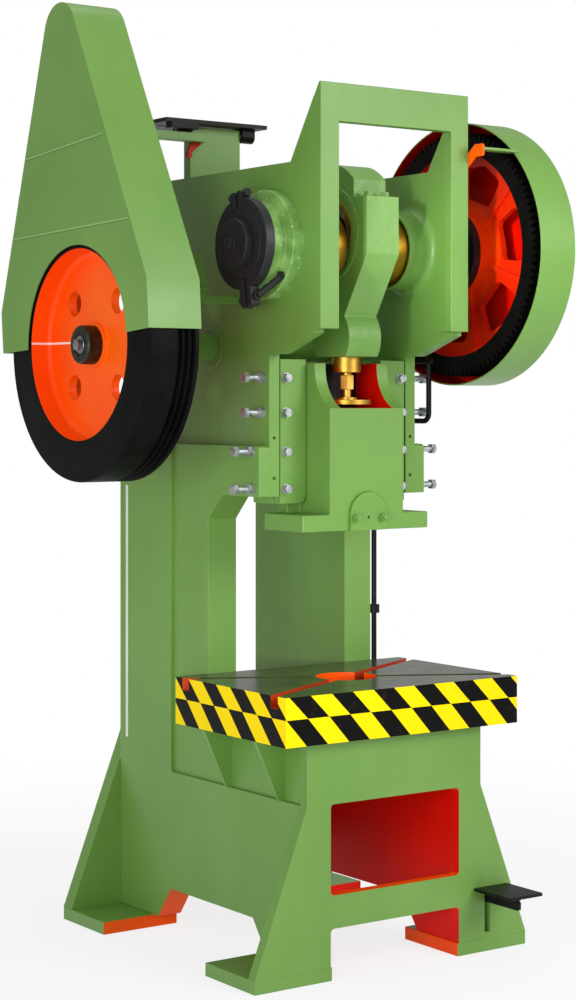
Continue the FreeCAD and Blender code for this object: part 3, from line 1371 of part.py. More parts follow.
def tension_lug():
    # Triangular lug on the panel, below the angle bar, with a round-headed screw in its low corner.
    top_z = angle_foot_z()
    foot_z = top_z - LUG_HEIGHT
    x0 = PANEL_LEFT_X - LUG_OVERHANG
    x1 = PANEL_LEFT_X + LUG_HEIGHT
    y = PANEL_Y - STAY_T
    plate = prism("y", y, PANEL_Y, [(x0, foot_z), (x0 + STAY_T, foot_z), (x1, top_z), (PANEL_LEFT_X, top_z)])
    knob = round_bar("y", y - STAY_T, PANEL_Y, x0 + STAY_T, foot_z, STAY_T)
    return joined([plate, knob])


def hinge_pins():
    length = HINGE_BARREL_LENGTH + WASHER_T
    right = round_bar("x", PANEL_RIGHT_X, PANEL_RIGHT_X + length, HINGE_Y, HINGE_Z, HINGE_PIN_R)
    left = round_bar("x", PANEL_LEFT_X - length, PANEL_LEFT_X, HINGE_Y, HINGE_Z, HINGE_PIN_R)
    return Part.makeCompound([right, left])


def hinge_ear(x0):
    # Barrel round a hinge pin, with the web up to the platform.
    x1 = x0 + HINGE_BARREL_LENGTH
    barrel = round_bar("x", x0, x1, HINGE_Y, HINGE_Z, HINGE_R)
    return joined([barrel, block(x0, x1, HINGE_Y - HINGE_R, HINGE_Y + HINGE_R, HINGE_Z, PLATFORM_Z)])


def motor_platform():
    x0 = PLATFORM_LEFT_X
    x1 = PLATFORM_RIGHT_X
    rear_y = PLATFORM_FRONT_Y + PLATFORM_DEPTH
    plate = block(x0, x1, PLATFORM_FRONT_Y, rear_y, PLATFORM_Z, PLATFORM_Z + PLATFORM_T)
    end = PANEL_LEFT_X - GIB_FIT
    ears = [hinge_ear(end - HINGE_BARREL_LENGTH), hinge_ear(PANEL_RIGHT_X + GIB_FIT)]
    rail_y = PLATFORM_FRONT_Y + PLATFORM_BLOCK_DEPTH
    rail = block(x0 + HINGE_R, end, PLATFORM_FRONT_Y, rail_y, PLATFORM_Z - PLATFORM_BLOCK_T, PLATFORM_Z)
    bore = round_bar("x", x0, x1, HINGE_Y, HINGE_Z, HINGE_PIN_R + HINGE_FIT)
    slots = []
    half = MOTOR_SLOT_WIDTH / 2
    for x in MOTOR_SLOT_X:
        for y in MOTOR_SLOT_Y:
            corners = [
                (x - MOTOR_SLOT_LENGTH / 2, y - half, half),
                (x + MOTOR_SLOT_LENGTH / 2, y - half, half),
                (x + MOTOR_SLOT_LENGTH / 2, y + half, half),
                (x - MOTOR_SLOT_LENGTH / 2, y + half, half),
            ]
            slots.append(prism("z", PLATFORM_Z, PLATFORM_Z + PLATFORM_T, corners))
    return joined([plate, rail] + ears).cut([bore] + slots)


# ---- pedal and clutch linkage ----
def linkage_pivots():
    # Stub shafts on the right side frame with retaining heads: the pedal's, and the trip lever's above.
    end_x = LEVER_X + LEVER_T / 2 + GIB_FIT
    shaft = round_bar("x", FACE_X, end_x, LEVER_PIVOT_Y, LEVER_Z, LEVER_PIN_R)
    head = round_bar("x", end_x, end_x + HEAD_T, LEVER_PIVOT_Y, LEVER_Z, LEVER_PIN_R + HEAD_LIP)
    trip_x = PULL_ROD_X + TRIP_LEVER_T / 2 + GIB_FIT
    trip_shaft = round_bar("x", OUTER_X, trip_x, TRIP_PIVOT_Y, TRIP_PIVOT_Z, TRIP_PIN_R)
    trip_head = round_bar("x", trip_x, trip_x + HEAD_T, TRIP_PIVOT_Y, TRIP_PIVOT_Z, TRIP_PIN_R + HEAD_LIP)
    return Part.makeCompound([joined([shaft, head]), joined([trip_shaft, trip_head])])


def trip_lever():
    # Lever above the pull rod's top, on its way to the clutch.
    x0 = PULL_ROD_X - TRIP_LEVER_T / 2
    x1 = PULL_ROD_X + TRIP_LEVER_T / 2
    half = TRIP_HEIGHT / 2
    front_y = PULL_ROD_HEAD_Y - half
    corners = [
        (front_y, TRIP_PIVOT_Z - half, TRIP_CORNER_R),
        (TRIP_PIVOT_Y, TRIP_PIVOT_Z - half),
        (TRIP_PIVOT_Y, TRIP_PIVOT_Z + half),
        (front_y, TRIP_PIVOT_Z, TRIP_CORNER_R),
    ]
    hub = round_bar("x", x0, x1, TRIP_PIVOT_Y, TRIP_PIVOT_Z, 2 * TRIP_PIN_R)
    bore = round_bar("x", x0, x1, TRIP_PIVOT_Y, TRIP_PIVOT_Z, TRIP_PIN_R + HINGE_FIT)
    return joined([prism("x", x0, x1, corners), hub]).cut(bore)


def pedal_lever():
    x0 = LEVER_X - LEVER_T / 2
    x1 = LEVER_X + LEVER_T / 2
    low = LEVER_Z - LEVER_HEIGHT / 2
    high = LEVER_Z + LEVER_HEIGHT / 2
    front_y = PEDAL_FRONT_Y + PEDAL_LEVER_SETBACK
    corners = [
        (front_y, low, PEDAL_CORNER_R),
        (LEVER_PIVOT_Y, low),
        (LEVER_PIVOT_Y, high),
        (front_y, high, PEDAL_CORNER_R),
    ]
    bar = prism("x", x0, x1, corners)
    eye = round_bar("x", x0, x1, LEVER_PIVOT_Y, LEVER_Z, 2 * LEVER_PIN_R)
    pin_x = x0 - GIB_FIT - PULL_ROD_EYE_T - PULL_PIN_END
    pin = round_bar("x", pin_x, x1, PULL_ROD_Y, LEVER_Z, PULL_PIN_R)
    bore = round_bar("x", x0, x1, LEVER_PIVOT_Y, LEVER_Z, LEVER_PIN_R + HINGE_FIT)
    return joined([bar, eye, pin]).cut(bore)


def pedal_plate():
    # Tread with rounded corners on a saddle that sits on the lever.
    left_x = PEDAL_X - PEDAL_WIDTH / 2
    right_x = PEDAL_X + PEDAL_WIDTH / 2
    rear_y = PEDAL_FRONT_Y + PEDAL_DEPTH
    tread_z = PEDAL_Z - PEDAL_T
    corners = [
        (left_x, PEDAL_FRONT_Y, PEDAL_CORNER_R),
        (right_x, PEDAL_FRONT_Y, PEDAL_CORNER_R),
        (right_x, rear_y, PEDAL_CORNER_R),
        (left_x, rear_y, PEDAL_CORNER_R),
    ]
    tread = prism("z", tread_z, PEDAL_Z, corners)
    saddle = block(
        LEVER_X - LEVER_T,
        LEVER_X + LEVER_T,
        PEDAL_FRONT_Y + PEDAL_SADDLE_SETBACK,
        rear_y - PEDAL_SADDLE_SETBACK,
        LEVER_Z + LEVER_HEIGHT / 2,
        tread_z,
    )
    return joined([tread, saddle])


def pull_rod():
    # Round rod up the right cheek that steps forward near the top, with an arc at every bend.
    y0 = PULL_ROD_Y
    y1 = PULL_ROD_HEAD_Y
    x = PULL_ROD_X
    r = PULL_ROD_BEND_R
    z_bend = PULL_ROD_BEND_Z
    path = [
        Vector(x, y0, LEVER_Z),
        Vector(x, y0, z_bend - r),
        Vector(x, y0 - r, z_bend),
        Vector(x, y1 + r, z_bend),
        Vector(x, y1, z_bend + r),
        Vector(x, y1, PULL_ROD_TOP_Z),
    ]
    turn = r * (1 - math.sqrt(0.5))
    edges = [
        Part.LineSegment(path[0], path[1]).toShape(),
        Part.Arc(path[1], Vector(x, y0 - turn, z_bend - turn), path[2]).toShape(),
        Part.LineSegment(path[2], path[3]).toShape(),
        Part.Arc(path[3], Vector(x, y1 + turn, z_bend + turn), path[4]).toShape(),
        Part.LineSegment(path[4], path[5]).toShape(),
    ]
    section = Part.Wire(Part.makeCircle(PULL_ROD_R, path[0], Vector(0, 0, 1)))
    rod = Part.Wire(edges).makePipeShell([section], True, False)
    half = PULL_ROD_EYE_T / 2
    eye = round_bar("x", x - half, x + half, y0, LEVER_Z, PULL_ROD_EYE_R)
    hole = round_bar("x", x - half, x + half, y0, LEVER_Z, PULL_PIN_R + PULL_PIN_SLACK)
    return joined([rod, eye]).cut(hole)


def rod_collar():
    return tube(
        "z", ROD_COLLAR_Z, ROD_COLLAR_Z + ROD_COLLAR_T, PULL_ROD_X, PULL_ROD_Y, ROD_COLLAR_R, PULL_ROD_R
    )


# ---- export ----
def build_parts():
    parts = {
        "right_main_plate": main_plate(),
        "right_outer_plate": outer_plate(),
        "right_inner_plate": inner_plate(),
        "right_cheek_plate": cheek_plate(),
        "right_crank_housing": crank_housing(),
        "right_gib_cover": gib_cover(),
        "right_gib_block": gib_block(),
    }
    for name in list(parts):
        parts[name.replace("right_", "left_")] = mirrored(parts[name])
    for maker in (
        base_front_plate,
        base_back_plate,
        foot_pads,
        bed_gussets,
        bolster,
        head_front_frame,
        head_ties,
        bearing_bushes,
        back_shaft_housings,
        gib_cover_bolts,
        gib_adjusting_bolts,
        slide,
        shank_clamp,
        clamp_studs,
        rod_body,
        rod_cap,
        cap_bolts,
        rod_bush,
        ball_screw,
        lock_ring,
        crankshaft,
        clutch_disc,
        brake_drum,
        brake_fasteners,
        bull_gear,
        pinion,
        flywheel,
        back_shaft,
        shaft_collar,
        flywheel_guard,
        gear_guard,
        guard_stays,
        side_bracket,
        motor_panel,
        panel_angle,
        tension_lug,
        hinge_pins,
        motor_platform,
        linkage_pivots,
        pedal_lever,
        pedal_plate,
        pull_rod,
        rod_collar,
        trip_lever,
    ):
        parts[maker.__name__] = maker()
    parts["front_brake_shoe"] = brake_shoe(-1)
    parts["rear_brake_shoe"] = brake_shoe(1)
    return parts


def middle_of_press():
    left = -GUARD_OUTER_X
    right = GEAR_GUARD_OUTER_X
    return Vector((left + right) / 2, (PEDAL_FRONT_Y + BASE_REAR_Y) / 2, 0)


def export(parts):
    os.makedirs("parts", exist_ok=True)
    origin = middle_of_press()
    for name, shape in parts.items():
        shape.translate(-origin)
        shape.exportStep("parts/" + name + ".step")


if __name__ == "__main__":
    export(build_parts())
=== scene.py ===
import bmesh
import bpy
import json
import math
from mathutils import Matrix, Vector
from mathutils.bvhtree import BVHTree


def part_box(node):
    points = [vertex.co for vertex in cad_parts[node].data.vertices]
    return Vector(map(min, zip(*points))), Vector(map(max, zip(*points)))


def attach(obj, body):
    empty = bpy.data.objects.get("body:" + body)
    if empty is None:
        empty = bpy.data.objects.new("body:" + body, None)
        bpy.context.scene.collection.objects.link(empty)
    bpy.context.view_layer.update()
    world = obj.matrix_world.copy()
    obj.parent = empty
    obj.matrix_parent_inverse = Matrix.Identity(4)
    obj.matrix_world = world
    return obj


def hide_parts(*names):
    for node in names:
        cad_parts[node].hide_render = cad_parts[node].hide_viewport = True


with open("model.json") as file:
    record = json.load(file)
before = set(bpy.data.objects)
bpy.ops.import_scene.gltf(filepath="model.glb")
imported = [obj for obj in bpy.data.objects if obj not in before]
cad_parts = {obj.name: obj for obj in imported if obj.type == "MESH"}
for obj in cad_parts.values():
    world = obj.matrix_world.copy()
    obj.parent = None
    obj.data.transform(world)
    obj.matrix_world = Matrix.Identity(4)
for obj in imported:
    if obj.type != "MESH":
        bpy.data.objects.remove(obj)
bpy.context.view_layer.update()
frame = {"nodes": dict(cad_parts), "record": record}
bodies = frame["record"]["behaviour"]["bodies"]
bodyOf = {node: body for body, members in bodies.items() for node in members}
mm = 0.001

# The table's middle is the slide's axis: sizes below are in millimetres from it, z from the floor
tableLow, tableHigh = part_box("bolster")
slideAxis = ((tableLow + tableHigh) / 2).xy
axisShift = Vector((slideAxis.x, slideAxis.y, 0))
gearLow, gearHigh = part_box("bull_gear")
crankZ = (gearLow.z + gearHigh.z) / 2 / mm
wheelLow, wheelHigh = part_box("flywheel")
backY = ((wheelLow.y + wheelHigh.y) / 2 - slideAxis.y) / mm
backZ = (wheelLow.z + wheelHigh.z) / 2 / mm


def spot(x, y, z):
    return Vector((slideAxis.x + x * mm, slideAxis.y + y * mm, z * mm))


def boxOf(node):  # low and high corner in the millimetres used here
    low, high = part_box(node)
    return (low - axisShift) / mm, (high - axisShift) / mm


# Colours and materials

def linearColour(hexCode):
    parts = [int(hexCode[i:i + 2], 16) / 255 for i in (1, 3, 5)]
    return [c / 12.92 if c <= 0.04045 else ((c + 0.055) / 1.055) ** 2.4 for c in parts] + [1.0]


def addNode(tree, kind, *inputs, **settings):
    # Inputs come in their order, or by name (From_Min, or i7 for number 7) among the node's own settings, and a node
    # given as an input stands for its first output
    node = tree.nodes.new("ShaderNode" + kind)
    for key, value in [*settings.items(), *enumerate(inputs)]:
        place = key if isinstance(key, int) else int(key[1:]) if key[1:].isdigit() else key.replace("_", " ")
        source = value.outputs[0] if hasattr(value, "outputs") else value
        if key == "stops":
            for element, (position, tone) in zip(node.color_ramp.elements, value):
                element.position = position
                element.color = linearColour(tone)
        elif isinstance(place, str) and place not in node.inputs:
            setattr(node, key, value)
        elif hasattr(source, "links"):
            tree.links.new(source, node.inputs[place])
        else:
            node.inputs[place].default_value = value
    return node


def newMaterial(name):
    material = bpy.data.materials.new(name)
    material.use_nodes = True
    tree = material.node_tree
    tree.nodes.clear()
    return material, tree, addNode(tree, "TexCoord").outputs["Object"]


def addPattern(material, mask, tone):
    # Lays a painted pattern over a material: mask 0 to 1, tone in its place
    tree = material.node_tree
    base = next(n for n in tree.nodes if n.type == "BSDF_PRINCIPLED").inputs["Base Color"]
    mix = addNode(tree, "Mix", mask, data_type="RGBA", i6=base.links[0].from_socket, i7=linearColour(tone))
    tree.links.new(mix.outputs[2], base)


def placeOf(material):  # Object coordinates in millimetres from the slide's axis
    tree = material.node_tree
    coords = next(n for n in tree.nodes if n.type == "TEX_COORD").outputs["Object"]
    return addNode(tree, "Mapping", coords, Location=-axisShift / mm, Scale=(1 / mm, 1 / mm, 1 / mm))


# A noise's scale counts its features in a metre, so it is 1000 over their size in millimetres

def paintMaterial(name, look):
    # Enamel over plate or casting: faint clouds and runs in its tone, orange peel and the plate's waves in relief
    material, tree, coords = newMaterial(name)
    cloud = addNode(tree, "TexNoise", coords, Scale=1000 / look["cloudMm"], Detail=3.0)
    upright = addNode(tree, "Mapping", coords, Scale=(1.0, 1.0, 0.08))
    streaks = addNode(tree, "TexNoise", upright, Scale=1000 / look["streakMm"], Detail=3.0)
    runs = addNode(tree, "Math", streaks, 0.2, operation="MULTIPLY")
    mixed = addNode(tree, "Math", cloud, 0.8, runs, operation="MULTIPLY_ADD")
    tone = addNode(tree, "ValToRGB", mixed, stops=((0.38, look["dark"]), (0.62, look["light"])))
    smear = addNode(tree, "TexNoise", coords, Scale=1000 / (look["cloudMm"] / 3), Detail=4.0)
    gloss = addNode(tree, "MapRange", smear, To_Min=look["rough"][0], To_Max=look["rough"][1])
    peel = addNode(tree, "TexNoise", coords, Scale=1000 / look["peelMm"], Detail=2.0)
    wave = addNode(tree, "TexNoise", coords, Scale=1000 / look["waveMm"], Detail=1.0)
    relief = addNode(tree, "Math", wave, look["waveDepth"], peel, operation="MULTIPLY_ADD")
    bump = addNode(tree, "Bump", Height=relief, Strength=look["bump"], Distance=0.6 * mm)
    shader = addNode(tree, "BsdfPrincipled", Base_Color=tone, Roughness=gloss, Normal=bump,
                     Specular_IOR_Level=look["shine"])
    addNode(tree, "OutputMaterial", Surface=shader)
    # Specks of dust caught in the paint, which on the rough left crank housing are painted highlights
    dustAndHighlightNoise = addNode(tree, "TexNoise", coords, Scale=1000 / look["speckMm"], Detail=1.0)
    specks = addNode(tree, "MapRange", dustAndHighlightNoise, From_Min=0.68, From_Max=0.74, To_Max=look["specks"])
    addPattern(material, specks, look["speckTone"])
    return material


def metalMaterial(name, look):
    # Turned or plated metal: fine tool marks along one way, a few stains, plain reflection
    material, tree, coords = newMaterial(name)
    stain = addNode(tree, "TexNoise", coords, Scale=1000 / look["stainMm"], Detail=3.0)
    tone = addNode(tree, "ValToRGB", stain, stops=((0.32, look["dark"]), (0.68, look["light"])))
    gloss = addNode(tree, "MapRange", stain, To_Min=look["rough"][0], To_Max=look["rough"][1])
    stretched = addNode(tree, "Mapping", coords, Scale=look["marks"])
    marks = addNode(tree, "TexNoise", stretched, Scale=1000 / look["markMm"], Detail=1.0)
    bump = addNode(tree, "Bump", Height=marks, Strength=look["bump"], Distance=0.2 * mm)
    shader = addNode(tree, "BsdfPrincipled", Base_Color=tone, Metallic=look.get("metal", 1.0), Roughness=gloss,
                     Normal=bump)
    addNode(tree, "OutputMaterial", Surface=shader)
    return material


def addLine(material, start, end, width, tone, share):
    # A line in the y and z plane, over the whole run between its two ends
    tree = material.node_tree
    place = addNode(tree, "SeparateXYZ", placeOf(material)).outputs
    slope = (end[1] - start[1]) / (end[0] - start[0])
    level = addNode(tree, "Math", place[1], slope, start[1] - start[0] * slope, operation="MULTIPLY_ADD")
    isNear = addNode(tree, "Math", place[2], level, width / 2, operation="COMPARE")
    isWithin = addNode(tree, "Math", place[1], (start[0] + end[0]) / 2, abs(end[0] - start[0]) / 2,
                       operation="COMPARE")
    isLine = addNode(tree, "Math", isNear, isWithin, operation="MULTIPLY")
    addPattern(material, addNode(tree, "Math", isLine, share, operation="MULTIPLY"), tone)


plainPaint = {"cloudMm": 420, "streakMm": 90, "speckMm": 5.0, "specks": 0.1, "speckTone": "#9ABA7C", "peelMm": 4.0,
              "waveMm": 80, "waveDepth": 2.5, "bump": 0.2, "rough": (0.3, 0.44), "shine": 0.4}
castPaint = {"peelMm": 9.0, "waveMm": 26, "waveDepth": 2.2, "bump": 0.95, "rough": (0.3, 0.46), "speckMm": 9.0,
             "specks": 0.12}
greenLook = {**plainPaint, "dark": "#6A9742", "light": "#739E4A"}
orangeLook = {**plainPaint, "dark": "#FF4E00", "light": "#FF6200", "speckTone": "#FF8A4C", "shine": 0.2}

# Gloss machinery enamel on rolled plate: even, with soft reflections that waver a little
green = paintMaterial("greenEnamel", greenLook)
# The same enamel over the grainy skin of a sand casting
castGreen = paintMaterial("greenEnamelOnCasting", {
    **plainPaint, **castPaint, "dark": "#679440", "light": "#79A653", "speckTone": "#B4D296"})
# The left crank housing was painted thick over a rough skin; its light patches and specks are painted highlights
highlightedRoughGreen = paintMaterial("greenEnamelOnRoughCasting", {
    **plainPaint, **castPaint, "dark": "#6C9A45", "light": "#93C16C", "cloudMm": 45, "speckTone": "#C6E4AC",
    "specks": 0.6, "speckMm": 14, "bump": 1.0, "waveDepth": 3.0})
# Orange and red enamel, brushed inside the base, the guards and the slide's pocket: strong tone, little glare; the
# red on the right openings' rear edges and the right rear pad is painted shade
orange = paintMaterial("orangeEnamel", orangeLook)
red = paintMaterial("redEnamel", {
    **plainPaint, "dark": "#D80E00", "light": "#EC1400", "speckTone": "#F04030", "shine": 0.15})
# Duller red of the primer left in the slots and on small levers
primer = paintMaterial("redOxidePrimer", {
    **plainPaint, "dark": "#A82A08", "light": "#C43C0C", "speckTone": "#D86A3C", "rough": (0.5, 0.66), "shine": 0.2})
# Black enamel on the levers and the motor's platform, half gloss, also laid on the back of the slide's pocket as
# painted shade
blackPaint = paintMaterial("blackEnamel", {
    **plainPaint, "dark": "#0A0A0A", "light": "#121212", "speckTone": "#303030", "rough": (0.36, 0.5), "shine": 0.18})
# Black enamel on the turned rims of wheel and gear, dull with dust
rimBlack = paintMaterial("blackRimEnamel", {
    **plainPaint, "dark": "#090909", "light": "#101010", "cloudMm": 60, "speckTone": "#2C2C2C",
    "rough": (0.5, 0.62), "bump": 0.35, "shine": 0.07})
# Black enamel over the grain of the brake's castings
castBlack = paintMaterial("blackEnamelOnCasting", {
    **plainPaint, **castPaint, "dark": "#19191B", "light": "#29292C", "speckTone": "#3C3D40",
    "rough": (0.38, 0.52), "shine": 0.35})
# Oiled, ground table painted thinly in dark olive: it mirrors the column faintly
tableTop = paintMaterial("oiledTablePaint", {
    **plainPaint, "dark": "#3A4126", "light": "#525838", "cloudMm": 160, "speckTone": "#7A7F62",
    "rough": (0.16, 0.3), "bump": 0.08, "shine": 0.45})
# Painted highlight: thin white paint along the column's rear corner edge, the green dusting through
whiteEdgeHighlight = paintMaterial("whiteStencilPaint", {
    **plainPaint, "dark": "#DCE8D4", "light": "#F0F6EC", "speckTone": "#B8C8AC", "specks": 0.4})
# Bronze bushes with the turning tool's rings round them, drawn as coarse as they need to show
bronze = metalMaterial("turnedBronze", {
    "dark": "#B07A1E", "light": "#D8A23A", "rough": (0.28, 0.42), "stainMm": 140, "marks": (1.0, 0.04, 0.04),
    "markMm": 1.2, "bump": 0.5})
# Brass ball screw and nuts, turned and handled: yellow, soft shine
brass = metalMaterial("turnedBrass", {
    "dark": "#C89A38", "light": "#E8C264", "rough": (0.34, 0.46), "stainMm": 90, "marks": (0.04, 0.04, 1.0),
    "markMm": 1.2, "bump": 0.4})
# Zinc plated bolts: pale, slightly cloudy
zinc = metalMaterial("zincPlate", {
    "dark": "#8A8E90", "light": "#C6CACC", "metal": 0.8, "rough": (0.38, 0.54), "stainMm": 14,
    "marks": (1.0, 1.0, 1.0), "markMm": 1.6, "bump": 0.2})
# Bare ground steel of shafts and pins
steel = metalMaterial("groundSteel", {
    "dark": "#6C6E70", "light": "#9C9EA0", "rough": (0.25, 0.4), "stainMm": 40, "marks": (1.0, 0.05, 0.05),
    "markMm": 1.2, "bump": 0.4})
# Blackened, oily steel of the wheel's collar and the shaft's end: dark, with a dull shine
oiledSteel = metalMaterial("oiledSteel", {
    "dark": "#33362C", "light": "#4C5042", "rough": (0.38, 0.52), "stainMm": 18, "marks": (1.0, 0.3, 0.3),
    "markMm": 2.0, "bump": 0.4})

# Warning band round the table: two rows of leaning yellow and black cells, sizes in mm
bandLook = {"cell": 71.6, "split": 738.5, "lean": (1.01, 0.905), "top": 800.0, "frontStart": -400.0,
            "sideStart": -136.4, "black": "#070706", "yellow": "#FFDF00", "scuffTone": "#8C7A20", "scuffs": 0.12,
            "scuffMm": 30, "waveMm": 40, "rough": (0.3, 0.5), "shine": 0.1}


def bandMaterial(name, axis, start):
    material, tree, coords = newMaterial(name)
    place = addNode(tree, "SeparateXYZ", placeOf(material)).outputs
    way = 1 if axis == 0 else -1  # counted to the right in front, and forwards on the sides
    split = bandLook["split"]
    leanTop, leanLow = bandLook["lean"]
    # A cell's edge moves along with the height, at each row's own lean
    upper = addNode(tree, "Math", place[2], split, operation="MAXIMUM")
    lower = addNode(tree, "Math", place[2], split, operation="MINIMUM")
    first = start + bandLook["top"] * leanTop + split * leanLow
    along = addNode(tree, "Math", place[axis], way, -first, operation="MULTIPLY_ADD")
    along = addNode(tree, "Math", upper, leanTop, along, operation="MULTIPLY_ADD")
    along = addNode(tree, "Math", lower, leanLow, along, operation="MULTIPLY_ADD")
    cell = addNode(tree, "Math", along, 2 * bandLook["cell"], operation="DIVIDE")
    isLower = addNode(tree, "Math", place[2], split, operation="LESS_THAN")
    cell = addNode(tree, "Math", isLower, 0.5, cell, operation="MULTIPLY_ADD")  # the rows are half a pair apart
    isYellow = addNode(tree, "Math", addNode(tree, "Math", cell, operation="FRACT"), 0.5, operation="GREATER_THAN")
    tone = addNode(tree, "Mix", isYellow, data_type="RGBA", i6=linearColour(bandLook["black"]),
                   i7=linearColour(bandLook["yellow"])).outputs[2]
    scuff = addNode(tree, "TexNoise", coords, Scale=1000 / bandLook["scuffMm"], Detail=4.0)
    gloss = addNode(tree, "MapRange", scuff, To_Min=bandLook["rough"][0], To_Max=bandLook["rough"][1])
    wave = addNode(tree, "TexNoise", coords, Scale=1000 / bandLook["waveMm"], Detail=2.0)
    bump = addNode(tree, "Bump", Height=wave, Strength=0.1, Distance=0.4 * mm)
    shader = addNode(tree, "BsdfPrincipled", Base_Color=tone, Roughness=gloss, Normal=bump,
                     Specular_IOR_Level=bandLook["shine"])
    addNode(tree, "OutputMaterial", Surface=shader)
    worn = addNode(tree, "MapRange", scuff, From_Min=0.62, From_Max=0.9, To_Max=bandLook["scuffs"])
    addPattern(material, worn, bandLook["scuffTone"])
    return material


# Printed warning tape, stuck on: flat strong colours, lightly scuffed, on the table's front and rear and on its sides
bandFront = bandMaterial("warningTapeFront", 0, bandLook["frontStart"])
bandSide = bandMaterial("warningTapeSide", 1, bandLook["sideStart"])

# The guard's outer sheet is welded up from three: each ground seam is a painted highlight line over a painted shade
# line
seamLook = {"ends": (((608, 2311), (160, 2344)), ((690, 2080), (25, 2099))), "wide": 3.5, "light": "#9CC57A",
            "dark": "#4E7638", "share": 0.8}
seamShadedGuardGreen = paintMaterial("greenEnamelOnSheet", greenLook)
for start, end in seamLook["ends"]:
    for drop, tone in ((0, seamLook["light"]), (seamLook["wide"], seamLook["dark"])):
        addLine(seamShadedGuardGreen, (start[0], start[1] - drop), (end[0], end[1] - drop), seamLook["wide"], tone,
                seamLook["share"])

# A chalk stroke was left across the wheel's web: its ends from the wheel's axis, its rise over it
wheelLook = {"rimFrom": 273.5, "chalk": (66, 290), "chalkRise": 9, "chalkWide": 6.0, "chalkTone": "#F6EDE4",
             "chalkShare": 0.85}
wheelOrange = paintMaterial("orangeEnamelOnWheel", orangeLook)
chalkEnds = [(backY + reach, backZ + wheelLook["chalkRise"]) for reach in wheelLook["chalk"]]
addLine(wheelOrange, *chalkEnds, wheelLook["chalkWide"], wheelLook["chalkTone"], wheelLook["chalkShare"])

# The gear is orange round its hub, with painted shade making it redder outside, and black from a little inside its
# rim out to the teeth
gearLook = {"hubFade": (138.0, 168.0), "webTone": "#E01E04", "webShare": 0.85, "blackFrom": 318.0,
            "blackTone": "#0C0C0C", "rimFrom": 330}
gearPaint = paintMaterial("orangeEnamelOnGear", {
    **plainPaint, "dark": "#FF3E00", "light": "#FF5200", "speckTone": "#FF8A4C", "shine": 0.3})
gearTree = gearPaint.node_tree
gearSpoke = addNode(gearTree, "VectorMath", placeOf(gearPaint), (0, 1, 1), (0, 0, -crankZ), operation="MULTIPLY_ADD")
gearRadius = addNode(gearTree, "VectorMath", gearSpoke, operation="LENGTH").outputs["Value"]
paintedShadeOutsideHub = addNode(gearTree, "MapRange", gearRadius, From_Min=gearLook["hubFade"][0],
                     From_Max=gearLook["hubFade"][1], To_Max=gearLook["webShare"])
isRim = addNode(gearTree, "Math", gearRadius, gearLook["blackFrom"], operation="GREATER_THAN")
# Painted shade: the web outside the hub is darkened to a deeper red
addPattern(gearPaint, paintedShadeOutsideHub, gearLook["webTone"])
addPattern(gearPaint, isRim, gearLook["blackTone"])
print("materials made")


# Skins: each CAD node's own shape with eased edges

skinLook = {"joinMm": 0.02, "flatAngle": 0.5, "sharpAngle": 32}


def finish(piece, body, nodes=()):
    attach(piece, body)
    if nodes:
        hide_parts(*nodes)


def addEasing(piece, width):
    easing = piece.modifiers.new("easedEdges", "BEVEL")
    easing.width = width * mm
    easing.segments = 2
    easing.limit_method = "WEIGHT"
    easing.use_clamp_overlap = True
    easing.harden_normals = True
    easing.miter_outer = "MITER_ARC"


def isSharp(edge):
    return len(edge.link_faces) == 2 and edge.calc_face_angle(0) > math.radians(skinLook["sharpAngle"])


wallX = boxOf("right_main_plate")[0].x  # inner face of the right side frame
bedZ, tableZ = (corner.z for corner in boxOf("bolster"))
slideTop = boxOf("slide")[1].z
# Places that the picks below go by
tableLook = {"halfX": 412, "halfY": 278, "holeReach": 120, "slotEnd": -370, "slotDeep": 5}
archLook = {"top": 134, "rearFrom": 200}
pocketLook = {"halfWidth": 92.6, "deep": 140, "front": -90, "back": 77, "backWall": 70}
shaftLook = {"behind": 150, "bareEnd": -690}
stayLook = {"legSide": 43}
gearGuardLook = {"backX": 500}
# Where one flat face carries two colours, it is parted along these planes (axis, place)
paintLines = {
    "left_main_plate": ((2, bedZ),), "right_main_plate": ((2, bedZ),),
    "base_front_plate": ((0, -wallX), (0, wallX), (2, bedZ)), "base_back_plate": ((0, -wallX), (0, wallX)),
    "foot_pads": ((0, -wallX), (0, wallX)), "guard_stays": ((0, wallX + stayLook["legSide"]),),
    "bolster": ((0, tableLook["slotEnd"]),),
}

# Plates that lie flush together are painted as one: their joints get no eased edge
flushNodes = [n for n in bodies["frame"] if n.endswith("plate") or n in ("head_front_frame", "bed_gussets")]
flushNodes += ["rod_body", "rod_cap"]
flushTrees = {}
for node in flushNodes:
    bm = bmesh.new()
    bm.from_mesh(frame["nodes"][node].data)
    flushTrees[node] = BVHTree.FromBMesh(bm)
    bm.free()
# Five points along an edge are tried 0.4 mm to each side: over two inside another plate make it a joint
seamTest = {"step": 0.4, "shares": (0.1, 0.3, 0.5, 0.7, 0.9), "votes": 2, "mostHits": 50}


def isInside(tree, point):
    ray = Vector((0.31, 0.52, 0.79)).normalized()
    hits = 0
    start = point
    while hits < seamTest["mostHits"]:
        found = tree.ray_cast(start, ray)[0]
        if found is None:
            break
        hits += 1
        start = found + ray * 0.001 * mm  # a little behind the face
    return hits % 2 == 1


def isSeam(edge, trees):
    first, second = (face.normal for face in edge.link_faces)
    step = seamTest["step"] * mm
    votes = 0
    for share in seamTest["shares"]:
        point = edge.verts[0].co.lerp(edge.verts[1].co, share)
        tests = (point + (first - second) * step, point + (second - first) * step)
        votes += any(isInside(tree, test) for tree in trees for test in tests)
    return votes > seamTest["votes"]


